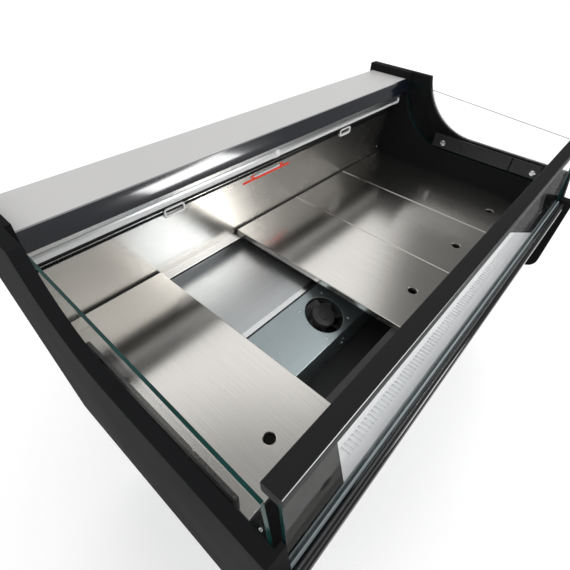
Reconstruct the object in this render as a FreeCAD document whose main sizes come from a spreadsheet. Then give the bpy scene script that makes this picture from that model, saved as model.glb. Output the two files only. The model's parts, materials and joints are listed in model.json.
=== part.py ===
import FreeCAD, Part
import math
import os

import Sketcher
from FreeCAD import Rotation, Vector

# Refrigerated serve-over display counter.
# Millimetres, +Z up, +X along the counter, -Y towards the customer.
# The origin is on the floor, under the middle of the counter.

# Driving dimensions: name, value, what it measures.
DRIVING = [
    ("well_length", 1442.0, "clear length between the end panels"),
    ("counter_depth", 879.0, "nose of the end panels to their rear edge"),
    ("deck_height", 650.0, "floor to the top of the deck panels"),
    ("worktop_rise", 300.0, "deck top to the top of the worktop"),
    ("sheet", 1.5, "folded sheet metal"),
    ("seat_gap", 0.5, "clearance round a piece that lifts out"),
    # Insulated tank
    ("floor_drop", 180.0, "deck top down to the tank floor"),
    ("foam_floor", 40.0, "insulation under the tank floor"),
    ("foam_rear", 20.0, "insulation behind the rear duct"),
    ("foam_front", 37.0, "insulation in the front wall"),
    ("casing_inset", 24.0, "tank front behind the noses of the end panels"),
    ("front_toe", 14.0, "how far the front of the tank leans in at its foot"),
    ("rear_toe", 87.0, "how far the rear of the tank leans in at its foot"),
    ("lean_rise", 15.0, "height over the deck where the rear lean starts"),
    ("rear_duct", 25.0, "air duct behind the rear wall"),
    ("rear_wall_inset", 112.0, "rear wall in front of the rear edge"),
    ("rear_wall_rise", 160.0, "rear wall top over the deck"),
    ("rear_wall_skirt", 30.0, "rear wall below the deck top"),
    ("outlet_height", 17.0, "height of the air outlet"),
    ("outlet_depth", 16.0, "depth of the air outlet grid"),
    # Deck
    ("panel_count", 5.0, "deck panels side by side"),
    ("panel_skirt", 18.0, "height of a deck panel's folded rim"),
    ("rear_gap", 8.0, "deck panels to the rear wall"),
    ("finger_hole", 27.0, "diameter of the finger hole"),
    ("finger_setback", 73.0, "finger hole centre from the panel's front edge"),
    ("panel_round", 2.5, "bend radius of the panel rims"),
    ("rear_ledge", 31.0, "width of the rear deck rail"),
    ("front_ledge", 51.0, "width of the front deck rail"),
    ("rail_web", 2.0, "thickness of the deck rails"),
    # Evaporator under the deck
    ("cover_drop", 47.0, "deck top down to the evaporator cover"),
    ("cover_rear_gap", 2.5, "evaporator cover to the rear wall"),
    ("cover_depth", 298.5, "evaporator cover, front to rear"),
    ("trim_width", 16.0, "trim strip in front of the cover"),
    ("trim_height", 5.0, "height of the trim strip"),
    ("plate_run", 147.0, "fan plate, measured level"),
    ("plate_fall", 46.0, "fall of the fan plate to its front edge"),
    ("coil_gap", 60.0, "evaporator coil behind the trim strip"),
    ("coil_depth", 170.0, "evaporator coil, front to rear"),
    ("coil_height", 118.0, "height of the evaporator coil"),
    ("coil_end_gap", 60.0, "coil to the end panel"),
    ("drain_radius", 11.0, "drain spigot"),
    ("drain_length", 40.0, "drain spigot"),
    ("drain_flange", 22.0, "radius of the drain flange"),
    ("drain_setback", 51.0, "drain axis in front of the fan plate"),
    # Evaporator fans
    ("fan_pitch", 360.0, "fan to fan"),
    ("fan_run", 80.0, "trim strip to the fan axis, measured level"),
    ("fan_frame", 119.0, "side of the square fan frame"),
    ("fan_bore", 115.0, "diameter of the fan throat"),
    ("fan_depth", 38.0, "depth of the fan frame"),
    ("fan_hub", 67.0, "diameter of the impeller hub"),
    ("fan_strut", 4.0, "strut that carries the fan motor"),
    ("fan_motor", 54.0, "diameter of the fan motor"),
    ("fan_motor_height", 6.0, "fan motor below the impeller"),
    ("fan_lift", 8.0, "foot of the frame to the impeller"),
    ("fan_wheel", 25.0, "height of the impeller hub"),
    ("fan_cap", 2.5, "top of the hub over the shaft"),
    ("fan_chord", 28.0, "width of a fan blade, seen along the axis"),
    ("fan_rise", 18.0, "rise of a fan blade across its width"),
    ("fan_blade", 2.0, "thickness of a fan blade"),
    ("fan_tip_gap", 1.0, "blade tip to throat"),
    ("fan_screw_pitch", 105.0, "fan fixing screws, side to side"),
    ("fan_screw_head", 8.0, "diameter of a fan screw head"),
    ("shaft_radius", 3.0, "fan shaft"),
    ("running_gap", 0.05, "radial running clearance of shafts and pins"),
    # Front
    ("profile_inset", 17.0, "front profile behind the noses"),
    ("profile_depth", 19.5, "front profile, front to rear"),
    ("profile_lean", 4.0, "how far the front of the profile leans in at its foot"),
    ("profile_rise", 55.0, "front profile over the deck"),
    ("profile_foot", 10.0, "front profile below the deck top"),
    ("profile_flange", 22.0, "height of the flange under the hinge bar"),
    ("hinge_gap", 1.5, "front profile to the hinge bar"),
    ("bar_radius", 7.0, "round hinge bar that holds the front glass"),
    ("bar_rise", 50.0, "hinge axis over the deck"),
    ("flange_reach", 6.5, "flange behind the hinge axis"),
    ("pin_radius", 4.0, "hinge pins in the end panels"),
    ("pin_length", 12.0, "hinge pins in the end panels"),
    ("glass_thickness", 6.0, "all glass"),
    ("front_glass_height", 201.0, "hinge axis to the top edge of the glass"),
    ("glass_sink", 1.0, "foot of the front glass below the hinge axis"),
    ("front_lean", 7.4, "backward lean of the front glass in degrees"),
    ("front_end_gap", 3.0, "front glass to the end panels"),
    ("rail_front", 5.0, "top rail in front of the glass centre"),
    ("rail_lip", 2.0, "front lip of the top rail over the glass edge"),
    ("rail_rear", 31.0, "top rail behind the glass centre"),
    ("rail_height", 22.0, "height of the top rail"),
    ("rail_cover", 9.0, "top rail over the glass edge"),
    ("rail_round", 2.0, "edge radius of the top rail"),
    # Return air grille
    ("grille_depth", 85.0, "return air grille, front to rear"),
    ("grille_sheet", 8.0, "thickness of the grille"),
    ("grille_front_half", 552.0, "half length of the grille at its front edge"),
    ("slot_count", 84.0, "slots in the grille"),
    ("slot_pitch", 12.0, "slot to slot"),
    ("slot_width", 7.0, "slot, along the counter"),
    ("slot_length", 21.5, "slot, front to rear"),
    ("slot_setback", 26.0, "slots behind the front edge of the grille"),
    ("blank_screw_inset", 21.0, "screws from the long edges of a grille blank"),
    ("wall_screw_inset", 20.0, "small screws from the end panel and above the deck"),
    # End panels
    ("end_thickness", 38.0, "end panel"),
    ("shoulder_rise", 147.0, "flat top of an end panel over the deck"),
    ("end_top_rise", 25.0, "rear top of an end panel over the worktop"),
    ("sweep_radius", 222.0, "curve from the flat top up to the rear"),
    ("sweep_start", 409.0, "nose to the start of that curve"),
    ("end_drop", 230.0, "deck top down to the foot of an end panel"),
    ("end_toe", 180.0, "how far the rear of an end panel leans in"),
    ("nose_rise", 61.0, "top of the nose over the deck"),
    ("nose_length", 34.5, "nose, front to rear"),
    ("nose_lean", 17.0, "setback of the front edge above the nose"),
    ("nose_round", 40.0, "radius under the nose"),
    ("end_round", 4.0, "radius round the outer face of an end panel"),
    ("recess_depth", 13.0, "recess for the end glass"),
    ("recess_rise", 89.0, "foot of the recess over the deck"),
    ("recess_setback", 60.0, "recess behind the nose"),
    ("recess_gap", 1.0, "glass to the edge of the recess"),
    ("glass_sweep", 200.0, "radius of the rear lower edge of the end glass"),
    ("glass_sweep_start", 500.0, "nose to the start of that radius"),
    ("end_glass_front_rise", 252.0, "front top corner of the end glass over the deck"),
    ("end_glass_rear_rise", 290.0, "rear top corner of the end glass over the deck"),
    ("end_glass_lean", 26.0, "lean of the front edge of the end glass"),
    ("clamp_height", 49.0, "glass clamp plate"),
    ("clamp_rise", 96.0, "foot of the clamp plates over the deck"),
    ("clamp_start", 139.0, "nose to the first clamp plate"),
    ("clamp_short", 97.0, "length of the first clamp plate"),
    ("clamp_long", 298.0, "length of the second clamp plate"),
    ("clamp_space", 5.0, "between the clamp plates"),
    ("clamp_screw", 20.0, "diameter of a clamp screw head"),
    ("clamp_screw_rise", 115.0, "clamp screws over the deck"),
    # Worktop and lamp
    ("worktop_sheet", 30.0, "thickness of the worktop"),
    ("worktop_depth", 155.0, "worktop with its fascia, front to rear"),
    ("worktop_inset", 13.0, "worktop in front of the rear edge"),
    ("fascia_sheet", 6.0, "thickness of the fascia at its top edge"),
    ("fascia_height", 36.5, "height of the fascia"),
    ("fascia_lean", 19.0, "foot of the fascia in front of its top edge"),
    ("fascia_joint", 1.0, "half the joint between the two fascia strips"),
    ("riser_setback", 17.5, "riser front behind the air outlet face"),
    ("lamp_setback", 28.0, "lamp axis behind the face of the fascia"),
    ("lamp_drop", 82.0, "worktop top down to the lamp axis"),
    ("tube_radius", 14.0, "lamp tube"),
    ("holder_length", 8.0, "lamp holder, along the counter"),
    ("holder_radius", 15.5, "round cap of a lamp holder"),
    ("holder_neck", 24.0, "neck of a lamp holder, front to rear"),
    ("holder_joint", 0.5, "half the gap between the two middle lamp holders"),
    ("lamp_rail_width", 34.0, "lamp rail, front to rear"),
    ("lamp_rail_wall", 2.0, "wall of the lamp rail"),
    # Outlet clips and air outlet teeth
    ("clip_length", 66.0, "wire clip on the air outlet"),
    ("clip_height", 27.0, "wire clip on the air outlet"),
    ("clip_bar", 4.0, "bar of the clip"),
    ("clip_below", 10.0, "clip below the outlet"),
    ("clip_left", 355.0, "left clip from the middle"),
    ("clip_right", 417.0, "right clip from the middle"),
    ("tooth_count", 238.0, "openings in the air outlet grid"),
    ("tooth_pitch", 6.0, "opening to opening"),
    ("tooth_gap", 4.0, "opening, along the counter"),
    ("tooth_height", 10.0, "opening, upwards"),
    ("outlet_bar", 1.5, "bar over the openings"),
    # Base
    ("base_half", 690.0, "half length of the base"),
    ("base_front", 109.0, "base behind the noses"),
    ("base_rear", 190.0, "base in front of the rear edge"),
    ("base_wall", 20.0, "side wall of the base"),
    ("front_sheet", 12.0, "front panel of the base"),
    ("floor_sheet", 3.0, "floor plate of the base"),
    ("foot_height", 60.0, "levelling foot"),
    ("foot_radius", 25.0, "pad of a levelling foot"),
    ("foot_pad", 14.0, "height of the foot pad"),
    ("foot_stem", 8.0, "radius of the foot stem"),
    ("foot_inset", 70.0, "foot from the corner of the base"),
    ("louvre_count", 16.0, "louvre slots in the rear panel"),
    ("louvre_pitch", 14.0, "slot to slot"),
    ("louvre_height", 7.0, "louvre slot"),
    ("louvre_length", 420.0, "louvre slot"),
    ("louvre_start", 60.0, "first louvre slot over the foot of the rear panel"),
    ("rear_sheet", 2.0, "rear panel of the base"),
    # Condensing unit
    ("compressor_radius", 80.0, "compressor shell"),
    ("compressor_height", 130.0, "straight part of the compressor shell"),
    ("compressor_x", 330.0, "compressor from the middle"),
    ("compressor_dome", 36.0, "rise of the compressor dome"),
    ("compressor_foot", 12.0, "compressor foot plate"),
    ("unit_setback", 300.0, "compressor axis behind the front of the base"),
    ("condenser_length", 280.0, "condenser coil"),
    ("condenser_depth", 60.0, "condenser coil"),
    ("condenser_height", 250.0, "condenser coil"),
    ("condenser_x", 210.0, "condenser axis left of the middle"),
    ("condenser_setback", 180.0, "condenser behind the front of the base"),
    ("blower_frame", 260.0, "side of the condenser fan frame"),
    ("blower_bore", 230.0, "throat of the condenser fan"),
    ("blower_depth", 60.0, "depth of the condenser fan frame"),
    ("blower_hub", 70.0, "hub of the condenser fan"),
    ("blower_strut", 6.5, "strut that carries the condenser fan motor"),
    ("blower_motor", 56.0, "diameter of the condenser fan motor"),
    ("blower_motor_height", 10.0, "condenser fan motor below the impeller"),
    ("blower_lift", 13.0, "foot of the frame to the impeller"),
    ("blower_wheel", 40.0, "height of the impeller hub"),
    ("blower_cap", 4.0, "top of the hub over the shaft"),
    ("blower_chord", 57.0, "width of a blade, seen along the axis"),
    ("blower_rise", 28.0, "rise of a blade across its width"),
    ("blower_blade", 3.0, "thickness of a blade"),
    # Controls on the operator's side
    ("control_end_gap", 211.0, "middle of the control plate from the right end panel"),
    ("control_length", 160.0, "control plate"),
    ("control_edge", 10.5, "riser over and under the control plate"),
    ("control_sheet", 4.0, "control plate"),
    ("control_margin", 8.0, "control plate beyond its cut-out"),
    ("button_radius", 4.0, "push button"),
    ("button_gap", 0.3, "button to its hole"),
    ("button_proud", 2.5, "button in front of the plate"),
    ("button_pitch", 26.0, "button to button"),
    ("button_rise", 20.0, "buttons over the foot of the plate"),
    ("button_flange", 1.6, "button flange wider than the button"),
    ("button_flange_depth", 2.0, "depth of the button flange"),
    ("rocker_offset", 54.0, "rocker from the middle of the plate"),
    ("rocker_width", 13.0, "rocker switch"),
    ("rocker_height", 20.0, "rocker switch"),
    ("rocker_depth", 9.0, "rocker switch"),
    ("rocker_tilt", 6.0, "rocker at rest in degrees"),
    ("rocker_gap", 0.4, "rocker to the side of its cut-out"),
    ("rocker_swing", 2.25, "room over and under the rocker"),
    ("rocker_pin", 1.0, "radius of the rocker's pivot pins"),
    ("rocker_pin_length", 2.0, "pivot pins beyond the sides of the rocker"),
    ("display_length", 88.0, "recess for the temperature display"),
    ("gland_radius", 11.0, "cable gland"),
    ("gland_length", 14.0, "cable gland"),
    ("gland_nut", 15.0, "radius of the gland nut"),
    ("gland_nut_length", 7.0, "gland nut"),
]

doc = FreeCAD.newDocument("DisplayCounter")
sheet = doc.addObject("Spreadsheet::Sheet", "Sizes")
nodes = []


class Size:
    """A length with its sheet expression and its present value."""

    def __init__(self, text, value):
        self.text = text
        self.value = value

    def join(self, sign, other, value):
        return Size(f"({self.text} {sign} {other.text})", value)

    def __add__(self, other):
        other = as_size(other)
        return self.join("+", other, self.value + other.value)

    def __sub__(self, other):
        other = as_size(other)
        return self.join("-", other, self.value - other.value)

    def __mul__(self, other):
        other = as_size(other)
        return self.join("*", other, self.value * other.value)

    def __truediv__(self, other):
        other = as_size(other)
        return self.join("/", other, self.value / other.value)

    def __radd__(self, other):
        return as_size(other) + self

    def __rsub__(self, other):
        return as_size(other) - self

    def __rmul__(self, other):
        return as_size(other) * self

    def __neg__(self):
        return Size(f"(0 - {self.text})", -self.value)


class Guess:
    """A sketch coordinate that an arc decides; the value only starts the solver."""

    def __init__(self, value):
        self.value = value


def as_size(value):
    if isinstance(value, Size):
        return value
    return Size(repr(float(value)), float(value))


def read_sheet():
    sizes = {}
    for row, (name, value, meaning) in enumerate(DRIVING, start=1):
        sheet.set(f"A{row}", meaning)
        sheet.set(f"B{row}", str(value))
        sheet.setAlias(f"B{row}", name)
        sizes[name] = Size(f"Sizes.{name}", value)
    doc.recompute()
    return sizes


S = read_sheet()

# Places worked out from the driving dimensions.
HALF_WELL = S["well_length"] / 2
FRONT_Y = -S["counter_depth"] / 2
REAR_Y = S["counter_depth"] / 2
DECK_Z = S["deck_height"]
TOP_Z = DECK_Z + S["worktop_rise"]
SHEET = S["sheet"]
SHOULDER_Z = DECK_Z + S["shoulder_rise"]
END_TOP_Z = TOP_Z + S["end_top_rise"]
END_FOOT_Z = DECK_Z - S["end_drop"]
REAR_WALL_Y = REAR_Y - S["rear_wall_inset"]
REAR_WALL_TOP_Z = DECK_Z + S["rear_wall_rise"]
TANK_TOP_Z = REAR_WALL_TOP_Z + S["outlet_height"]
PROFILE_FRONT_Y = FRONT_Y + S["profile_inset"]
PROFILE_REAR_Y = PROFILE_FRONT_Y + S["profile_depth"]
HINGE_Y = PROFILE_REAR_Y + S["hinge_gap"] + S["bar_radius"]
HINGE_Z = DECK_Z + S["bar_rise"]
FLANGE_REAR_Y = HINGE_Y + S["flange_reach"]
FRONT_WALL_TOP_Z = DECK_Z - S["profile_foot"]
GRILLE_REAR_Y = FLANGE_REAR_Y + S["grille_depth"]
DECK_FRONT_Y = GRILLE_REAR_Y + S["rail_web"] + S["seat_gap"]
DECK_REAR_Y = REAR_WALL_Y - S["rear_gap"]
LEDGE_Z = DECK_Z - S["panel_skirt"]
FLOOR_Z = DECK_Z - S["floor_drop"]
CASING_FOOT_Z = FLOOR_Z - S["foam_floor"] - 2 * SHEET
CASING_FRONT_Y = FRONT_Y + S["casing_inset"]
CASING_REAR_Y = REAR_WALL_Y + S["rear_duct"] + S["foam_rear"] + 3 * SHEET
LEAN_Z = DECK_Z + S["lean_rise"]
COVER_Z = DECK_Z - S["cover_drop"]
COVER_REAR_Y = REAR_WALL_Y - S["cover_rear_gap"]
COVER_FRONT_Y = COVER_REAR_Y - S["cover_depth"]
PLATE_REAR_Y = COVER_FRONT_Y - S["trim_width"]
PLATE_FRONT_Y = PLATE_REAR_Y - S["plate_run"]
PLATE_TOP_Z = COVER_Z - S["trim_height"]
PLATE_FOOT_Z = PLATE_TOP_Z - S["plate_fall"]
FAN_Y = PLATE_REAR_Y - S["fan_run"]
FAN_Z = PLATE_TOP_Z - S["plate_fall"] * S["fan_run"] / S["plate_run"]
WORKTOP_REAR_Y = REAR_Y - S["worktop_inset"]
FASCIA_Y = WORKTOP_REAR_Y - S["worktop_depth"]
WORKTOP_FOOT_Z = TOP_Z - S["worktop_sheet"]
RISER_REAR_Y = WORKTOP_REAR_Y - SHEET
RISER_FRONT_Y = REAR_WALL_Y + S["riser_setback"]
LAMP_Y = FASCIA_Y + S["lamp_setback"]
LAMP_Z = TOP_Z - S["lamp_drop"]
BASE_FRONT_Y = FRONT_Y + S["base_front"]
BASE_REAR_Y = REAR_Y - S["base_rear"]
BASE_FLOOR_Z = S["foot_height"] + S["floor_sheet"]
CONTROL_X = HALF_WELL - S["control_end_gap"]
CONTROL_Z = (TANK_TOP_Z + WORKTOP_FOOT_Z) / 2
CONTROL_HALF_HEIGHT = (WORKTOP_FOOT_Z - TANK_TOP_Z) / 2 - S["control_edge"]


def angle_of(fall, run):
    return Size(f"atan2({fall.text}; {run.text})", math.degrees(math.atan2(fall.value, run.value)))


def length_of(fall, run):
    return Size(f"hypot({fall.text}; {run.text})", math.hypot(fall.value, run.value))


def leg_of(span, leg):
    """The other leg of a right triangle."""
    square = span * span - leg * leg
    return Size(f"sqrt({square.text})", math.sqrt(square.value))


PLATE_ANGLE = angle_of(S["plate_fall"], S["plate_run"])
PLATE_SPAN = length_of(S["plate_fall"], S["plate_run"])


def bind(item, prop, size):
    item.setExpression(prop, as_size(size).text)


def place(item, x=0, y=0, z=0):
    for axis, size in zip("xyz", (x, y, z)):
        bind(item, f"Placement.Base.{axis}", size)
    return item


def turn(item, axis, angle):
    item.Placement = FreeCAD.Placement(item.Placement.Base, Rotation(axis, as_size(angle).value))
    bind(item, "Placement.Rotation.Angle", angle)
    return item


def node(item, label):
    """Marks an object as a sub-part that is written to its own file."""
    item.Label = label
    nodes.append(item)
    return item


# Plain solids, each with its sizes and place tied to the sheet

def box(x0, y0, z0, x1, y1, z1):
    item = doc.addObject("Part::Box", "Block")
    bind(item, "Length", as_size(x1) - x0)
    bind(item, "Width", as_size(y1) - y0)
    bind(item, "Height", as_size(z1) - z0)
    return place(item, x0, y0, z0)


TURNS = {"X": (Vector(0, 1, 0), 90), "Y": (Vector(1, 0, 0), -90), "Z": (Vector(0, 0, 1), 0)}


def rod(x, y, z, radius, length, axis="Z"):
    item = doc.addObject("Part::Cylinder", "Rod")
    bind(item, "Radius", radius)
    bind(item, "Height", length)
    item.Placement.Rotation = Rotation(*TURNS[axis])
    return place(item, x, y, z)


def join(parts):
    item = doc.addObject("Part::MultiFuse", "Joined")
    item.Shapes = parts
    return item


def cut(base, tools):
    item = doc.addObject("Part::Cut", "Cut")
    item.Base = base
    item.Tool = tools[0] if len(tools) == 1 else join(tools)
    return item


def group(parts):
    item = doc.addObject("Part::Compound", "Group")
    item.Links = parts
    return item


# Bodies with sketches

def new_body():
    return doc.addObject("PartDesign::Body", "Body")


def origin_part(body, role):
    return [part for part in body.Origin.OriginFeatures if part.Role == role][0]


def new_sketch(body, plane, offset=None):
    sketch = body.newObject("Sketcher::SketchObject", "Sketch")
    sketch.AttachmentSupport = [(origin_part(body, plane), "")]
    sketch.MapMode = "FlatFace"
    if offset is not None:
        bind(sketch, "AttachmentOffset.Base.z", offset)
    return sketch


def fix_point(sketch, geometry, vertex, u, v):
    """Ties one point of a sketch to its place, except where an arc decides it."""
    for kind, size in (("DistanceX", u), ("DistanceY", v)):
        if isinstance(size, Guess):
            continue
        size = as_size(size)
        index = sketch.addConstraint(
            Sketcher.Constraint(kind, -1, 1, geometry, vertex, size.value))
        name = f"{kind}{geometry}{vertex}"
        sketch.renameConstraint(index, name)
        bind(sketch, f"Constraints.{name}", size)


def value_of(size):
    return size.value if isinstance(size, Guess) else as_size(size).value


def add_outline(sketch, corners, arcs=None):
    """Closed outline; arcs maps a corner to the centre of the arc that starts there."""
    arcs = arcs or {}
    points = [Vector(value_of(u), value_of(v), 0) for u, v in corners]
    count = len(points)
    first = sketch.GeometryCount
    forward = {}
    for i, start in enumerate(points):
        end = points[(i + 1) % count]
        forward[i] = True
        if i in arcs:
            centre = Vector(value_of(arcs[i][0]), value_of(arcs[i][1]), 0)
            a, b = start - centre, end - centre
            forward[i] = a.cross(b).z > 0
            low, high = (a, b) if forward[i] else (b, a)
            circle = Part.Circle(centre, Vector(0, 0, 1), a.Length)
            angles = [math.atan2(ray.y, ray.x) for ray in (low, high)]
            sketch.addGeometry(Part.ArcOfCircle(circle, *angles))
        else:
            sketch.addGeometry(Part.LineSegment(start, end))
    for i in range(count):
        follower = (i + 1) % count
        sketch.addConstraint(Sketcher.Constraint(
            "Coincident", first + i, 2 if forward[i] else 1,
            first + follower, 1 if forward[follower] else 2))
    for i, (u, v) in enumerate(corners):
        fix_point(sketch, first + i, 1 if forward[i] else 2, u, v)
    for i, (u, v) in arcs.items():
        fix_point(sketch, first + i, 3, u, v)


def add_rectangle(sketch, u0, v0, u1, v1):
    add_outline(sketch, [(u0, v0), (u1, v0), (u1, v1), (u0, v1)])


def add_circle(sketch, u, v, radius):
    radius = as_size(radius)
    centre = Vector(value_of(u), value_of(v), 0)
    index = sketch.addGeometry(Part.Circle(centre, Vector(0, 0, 1), radius.value))
    fix_point(sketch, index, 3, u, v)
    constraint = sketch.addConstraint(Sketcher.Constraint("Radius", index, radius.value))
    sketch.renameConstraint(constraint, f"Radius{index}")
    bind(sketch, f"Constraints.Radius{index}", radius)


def pad(body, sketch, length, reverse=False):
    item = body.newObject("PartDesign::Pad", "Pad")
    item.Profile = sketch
    item.Reversed = reverse
    bind(item, "Length", length)
    return item


def pocket(body, sketch, depth, reverse=False):
    item = body.newObject("PartDesign::Pocket", "Pocket")
    item.Profile = sketch
    item.Reversed = reverse
    bind(item, "Length", depth)
    return item


def repeat(body, feature, axis, count, pitch):
    item = body.newObject("PartDesign::LinearPattern", "Row")
    item.Originals = [feature]
    item.Direction = (origin_part(body, axis), [""])
    bind(item, "Occurrences", count)
    bind(item, "Length", (as_size(count) - 1) * pitch)
    body.Tip = item
    return item


def turn_round(body, feature, axis, count):
    item = body.newObject("PartDesign::PolarPattern", "Ring")
    item.Originals = [feature]
    item.Axis = (origin_part(body, axis), [""])
    item.Angle = 360
    item.Occurrences = count
    body.Tip = item
    return item


def round_edges(body, feature, radius, wanted):
    """Rounds the edges of a feature that the test picks out."""
    doc.recompute()
    names = [f"Edge{i}" for i, edge in enumerate(feature.Shape.Edges, start=1) if wanted(edge)]
    item = body.newObject("PartDesign::Fillet", "Round")
    item.Base = (feature, names)
    bind(item, "Radius", radius)
    return item


X_AXIS = Vector(1, 0, 0)
PARALLEL = 0.999
NEAR = 0.01


def runs_along_x(edge):
    if edge.Curve.TypeId != "Part::GeomLine":
        return False
    return abs(edge.tangentAt(edge.FirstParameter).dot(X_AXIS)) > PARALLEL


def run_through(y, z):
    """Test for edges along X that pass through one Y and Z place."""
    def wanted(edge):
        point = edge.Vertexes[0].Point
        offset = math.hypot(point.y - value_of(y), point.z - value_of(z))
        return runs_along_x(edge) and offset < NEAR
    return wanted


def extrusion(corners, start, length, arcs=None):
    """A profile in the Y and Z plane, drawn out along X."""
    body = new_body()
    sketch = new_sketch(body, "YZ_Plane")
    add_outline(sketch, corners, arcs)
    feature = pad(body, sketch, length)
    place(body, start)
    return body, feature


# Insulated tank

def lean_y(z, inset):
    """Rear of the tank at one height below the lean, moved in by an inset."""
    slope = S["rear_toe"] / (LEAN_Z - CASING_FOOT_Z)
    return CASING_REAR_Y - inset - (LEAN_Z - z) * slope


def tank_face(front_inset, foot, rear_inset):
    """One skin of the tank, from the front wall's top round to the rear wall's top."""
    front = CASING_FRONT_Y + front_inset
    slope = S["front_toe"] / (FRONT_WALL_TOP_Z - CASING_FOOT_Z)
    return [
        (front, FRONT_WALL_TOP_Z),
        (front + (FRONT_WALL_TOP_Z - foot) * slope, foot),
        (lean_y(foot, rear_inset), foot),
        (CASING_REAR_Y - rear_inset, LEAN_Z),
        (CASING_REAR_Y - rear_inset, TANK_TOP_Z),
    ]


def tank():
    skins = [
        tank_face(as_size(0), CASING_FOOT_Z, as_size(0)),
        tank_face(SHEET, CASING_FOOT_Z + SHEET, SHEET),
        tank_face(S["foam_front"] + SHEET, FLOOR_Z - SHEET, S["foam_rear"] + SHEET),
        tank_face(S["foam_front"] + 2 * SHEET, FLOOR_Z, S["foam_rear"] + 2 * SHEET),
    ]
    labels = ("tank_casing", "tank_insulation", "tank_liner")
    for label, outer, inner in zip(labels, skins, skins[1:]):
        body, _ = extrusion(outer + inner[::-1], -HALF_WELL, S["well_length"])
        node(body, label)


def rear_wall():
    foot = DECK_Z - S["rear_wall_skirt"]
    panel = box(-HALF_WELL, REAR_WALL_Y, foot, HALF_WELL, REAR_WALL_Y + SHEET, REAR_WALL_TOP_Z)
    node(panel, "rear_wall_panel")


def air_outlet():
    """Toothed strip between the rear wall and the riser, with one long slot over the teeth."""
    body = new_body()
    sketch = new_sketch(body, "XZ_Plane")
    add_rectangle(sketch, -HALF_WELL, 0, HALF_WELL, S["outlet_height"])
    pad(body, sketch, S["outlet_depth"], reverse=True)
    teeth_foot = SHEET / 2
    bar_top = teeth_foot + S["tooth_height"] + S["outlet_bar"]
    first = -(S["tooth_count"] - 1) * S["tooth_pitch"] / 2
    slot = new_sketch(body, "XZ_Plane")
    slot_half = HALF_WELL - S["tooth_pitch"]
    add_rectangle(slot, -slot_half, bar_top, slot_half, S["outlet_height"] - teeth_foot)
    pocket(body, slot, S["outlet_depth"])
    tooth = new_sketch(body, "XZ_Plane")
    half = S["tooth_gap"] / 2
    add_rectangle(tooth, first - half, teeth_foot, first + half, teeth_foot + S["tooth_height"])
    opening = pocket(body, tooth, S["outlet_depth"])
    repeat(body, opening, "X_Axis", S["tooth_count"], S["tooth_pitch"])
    place(body, 0, REAR_WALL_Y, REAR_WALL_TOP_Z)
    node(body, "air_outlet_grid")


def outlet_clips():
    clips = []
    foot = REAR_WALL_TOP_Z - S["clip_below"]
    bar = S["clip_bar"]
    for middle in (-S["clip_left"], S["clip_right"]):
        x0 = middle - S["clip_length"] / 2
        x1 = middle + S["clip_length"] / 2
        top = foot + S["clip_height"]
        frame = box(x0, REAR_WALL_Y - bar, foot, x1, REAR_WALL_Y, top)
        window = box(x0 + bar, REAR_WALL_Y - 2 * bar, foot + bar, x1 - bar, REAR_WALL_Y + bar, top - bar)
        clips.append(cut(frame, [window]))
    node(group(clips), "outlet_clips")


# Deck

def deck_rails():
    web = S["rail_web"]
    rear = [
        (REAR_WALL_Y - S["rear_ledge"], LEDGE_Z),
        (REAR_WALL_Y - S["rear_ledge"], LEDGE_Z - web),
        (REAR_WALL_Y - web, LEDGE_Z - web),
        (REAR_WALL_Y - web, LEDGE_Z - S["rear_ledge"]),
        (REAR_WALL_Y, LEDGE_Z - S["rear_ledge"]),
        (REAR_WALL_Y, LEDGE_Z),
    ]
    front_edge = GRILLE_REAR_Y + S["front_ledge"] + web
    front = [
        (GRILLE_REAR_Y, DECK_Z),
        (GRILLE_REAR_Y, LEDGE_Z - web),
        (front_edge, LEDGE_Z - web),
        (front_edge, LEDGE_Z),
        (GRILLE_REAR_Y + web, LEDGE_Z),
        (GRILLE_REAR_Y + web, DECK_Z),
    ]
    for label, corners in (("rear_deck_rail", rear), ("front_deck_rail", front)):
        body, _ = extrusion(corners, -HALF_WELL, S["well_length"])
        node(body, label)


REMOVED_PANEL = 2


def deck_panel(number):
    """A folded pan, open below, with a finger hole near its front edge."""
    pitch = S["well_length"] / S["panel_count"]
    width = pitch - 2 * S["seat_gap"]
    depth = DECK_REAR_Y - DECK_FRONT_Y
    body = new_body()
    rim = new_sketch(body, "XY_Plane")
    add_rectangle(rim, 0, 0, width, depth)
    block = pad(body, rim, S["panel_skirt"])

    def outer_bend(edge):
        return edge.BoundBox.ZMax > S["panel_skirt"].value - NEAR
    round_edges(body, block, S["panel_round"], outer_bend)
    hollow = new_sketch(body, "XY_Plane")
    add_rectangle(hollow, SHEET, SHEET, width - SHEET, depth - SHEET)
    pocket(body, hollow, S["panel_skirt"] - SHEET, reverse=True)
    hole = new_sketch(body, "XY_Plane")
    add_circle(hole, width / 2, S["finger_setback"], S["finger_hole"] / 2)
    pocket(body, hole, S["panel_skirt"] * 2, reverse=True)
    place(body, -HALF_WELL + (number - 1) * pitch + S["seat_gap"], DECK_FRONT_Y, LEDGE_Z)
    node(body, f"deck_panel_{number}")


# Evaporator and its fans

def evaporator_cover():
    cover = box(-HALF_WELL, COVER_FRONT_Y, COVER_Z - SHEET, HALF_WELL, COVER_REAR_Y, COVER_Z)
    node(cover, "evaporator_cover")
    trim = box(-HALF_WELL, PLATE_REAR_Y, PLATE_TOP_Z - SHEET, HALF_WELL, COVER_FRONT_Y, COVER_Z)
    node(trim, "cover_trim")


def fan_places():
    middle = S["fan_pitch"] / 2
    return [-middle - S["fan_pitch"], -middle, middle, middle + S["fan_pitch"]]


def tilt(item, x, y=FAN_Y, z=FAN_Z):
    """Puts an item drawn level at a fan's place on the sloping fan plate."""
    return turn(place(item, x, y, z), X_AXIS, PLATE_ANGLE)


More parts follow.
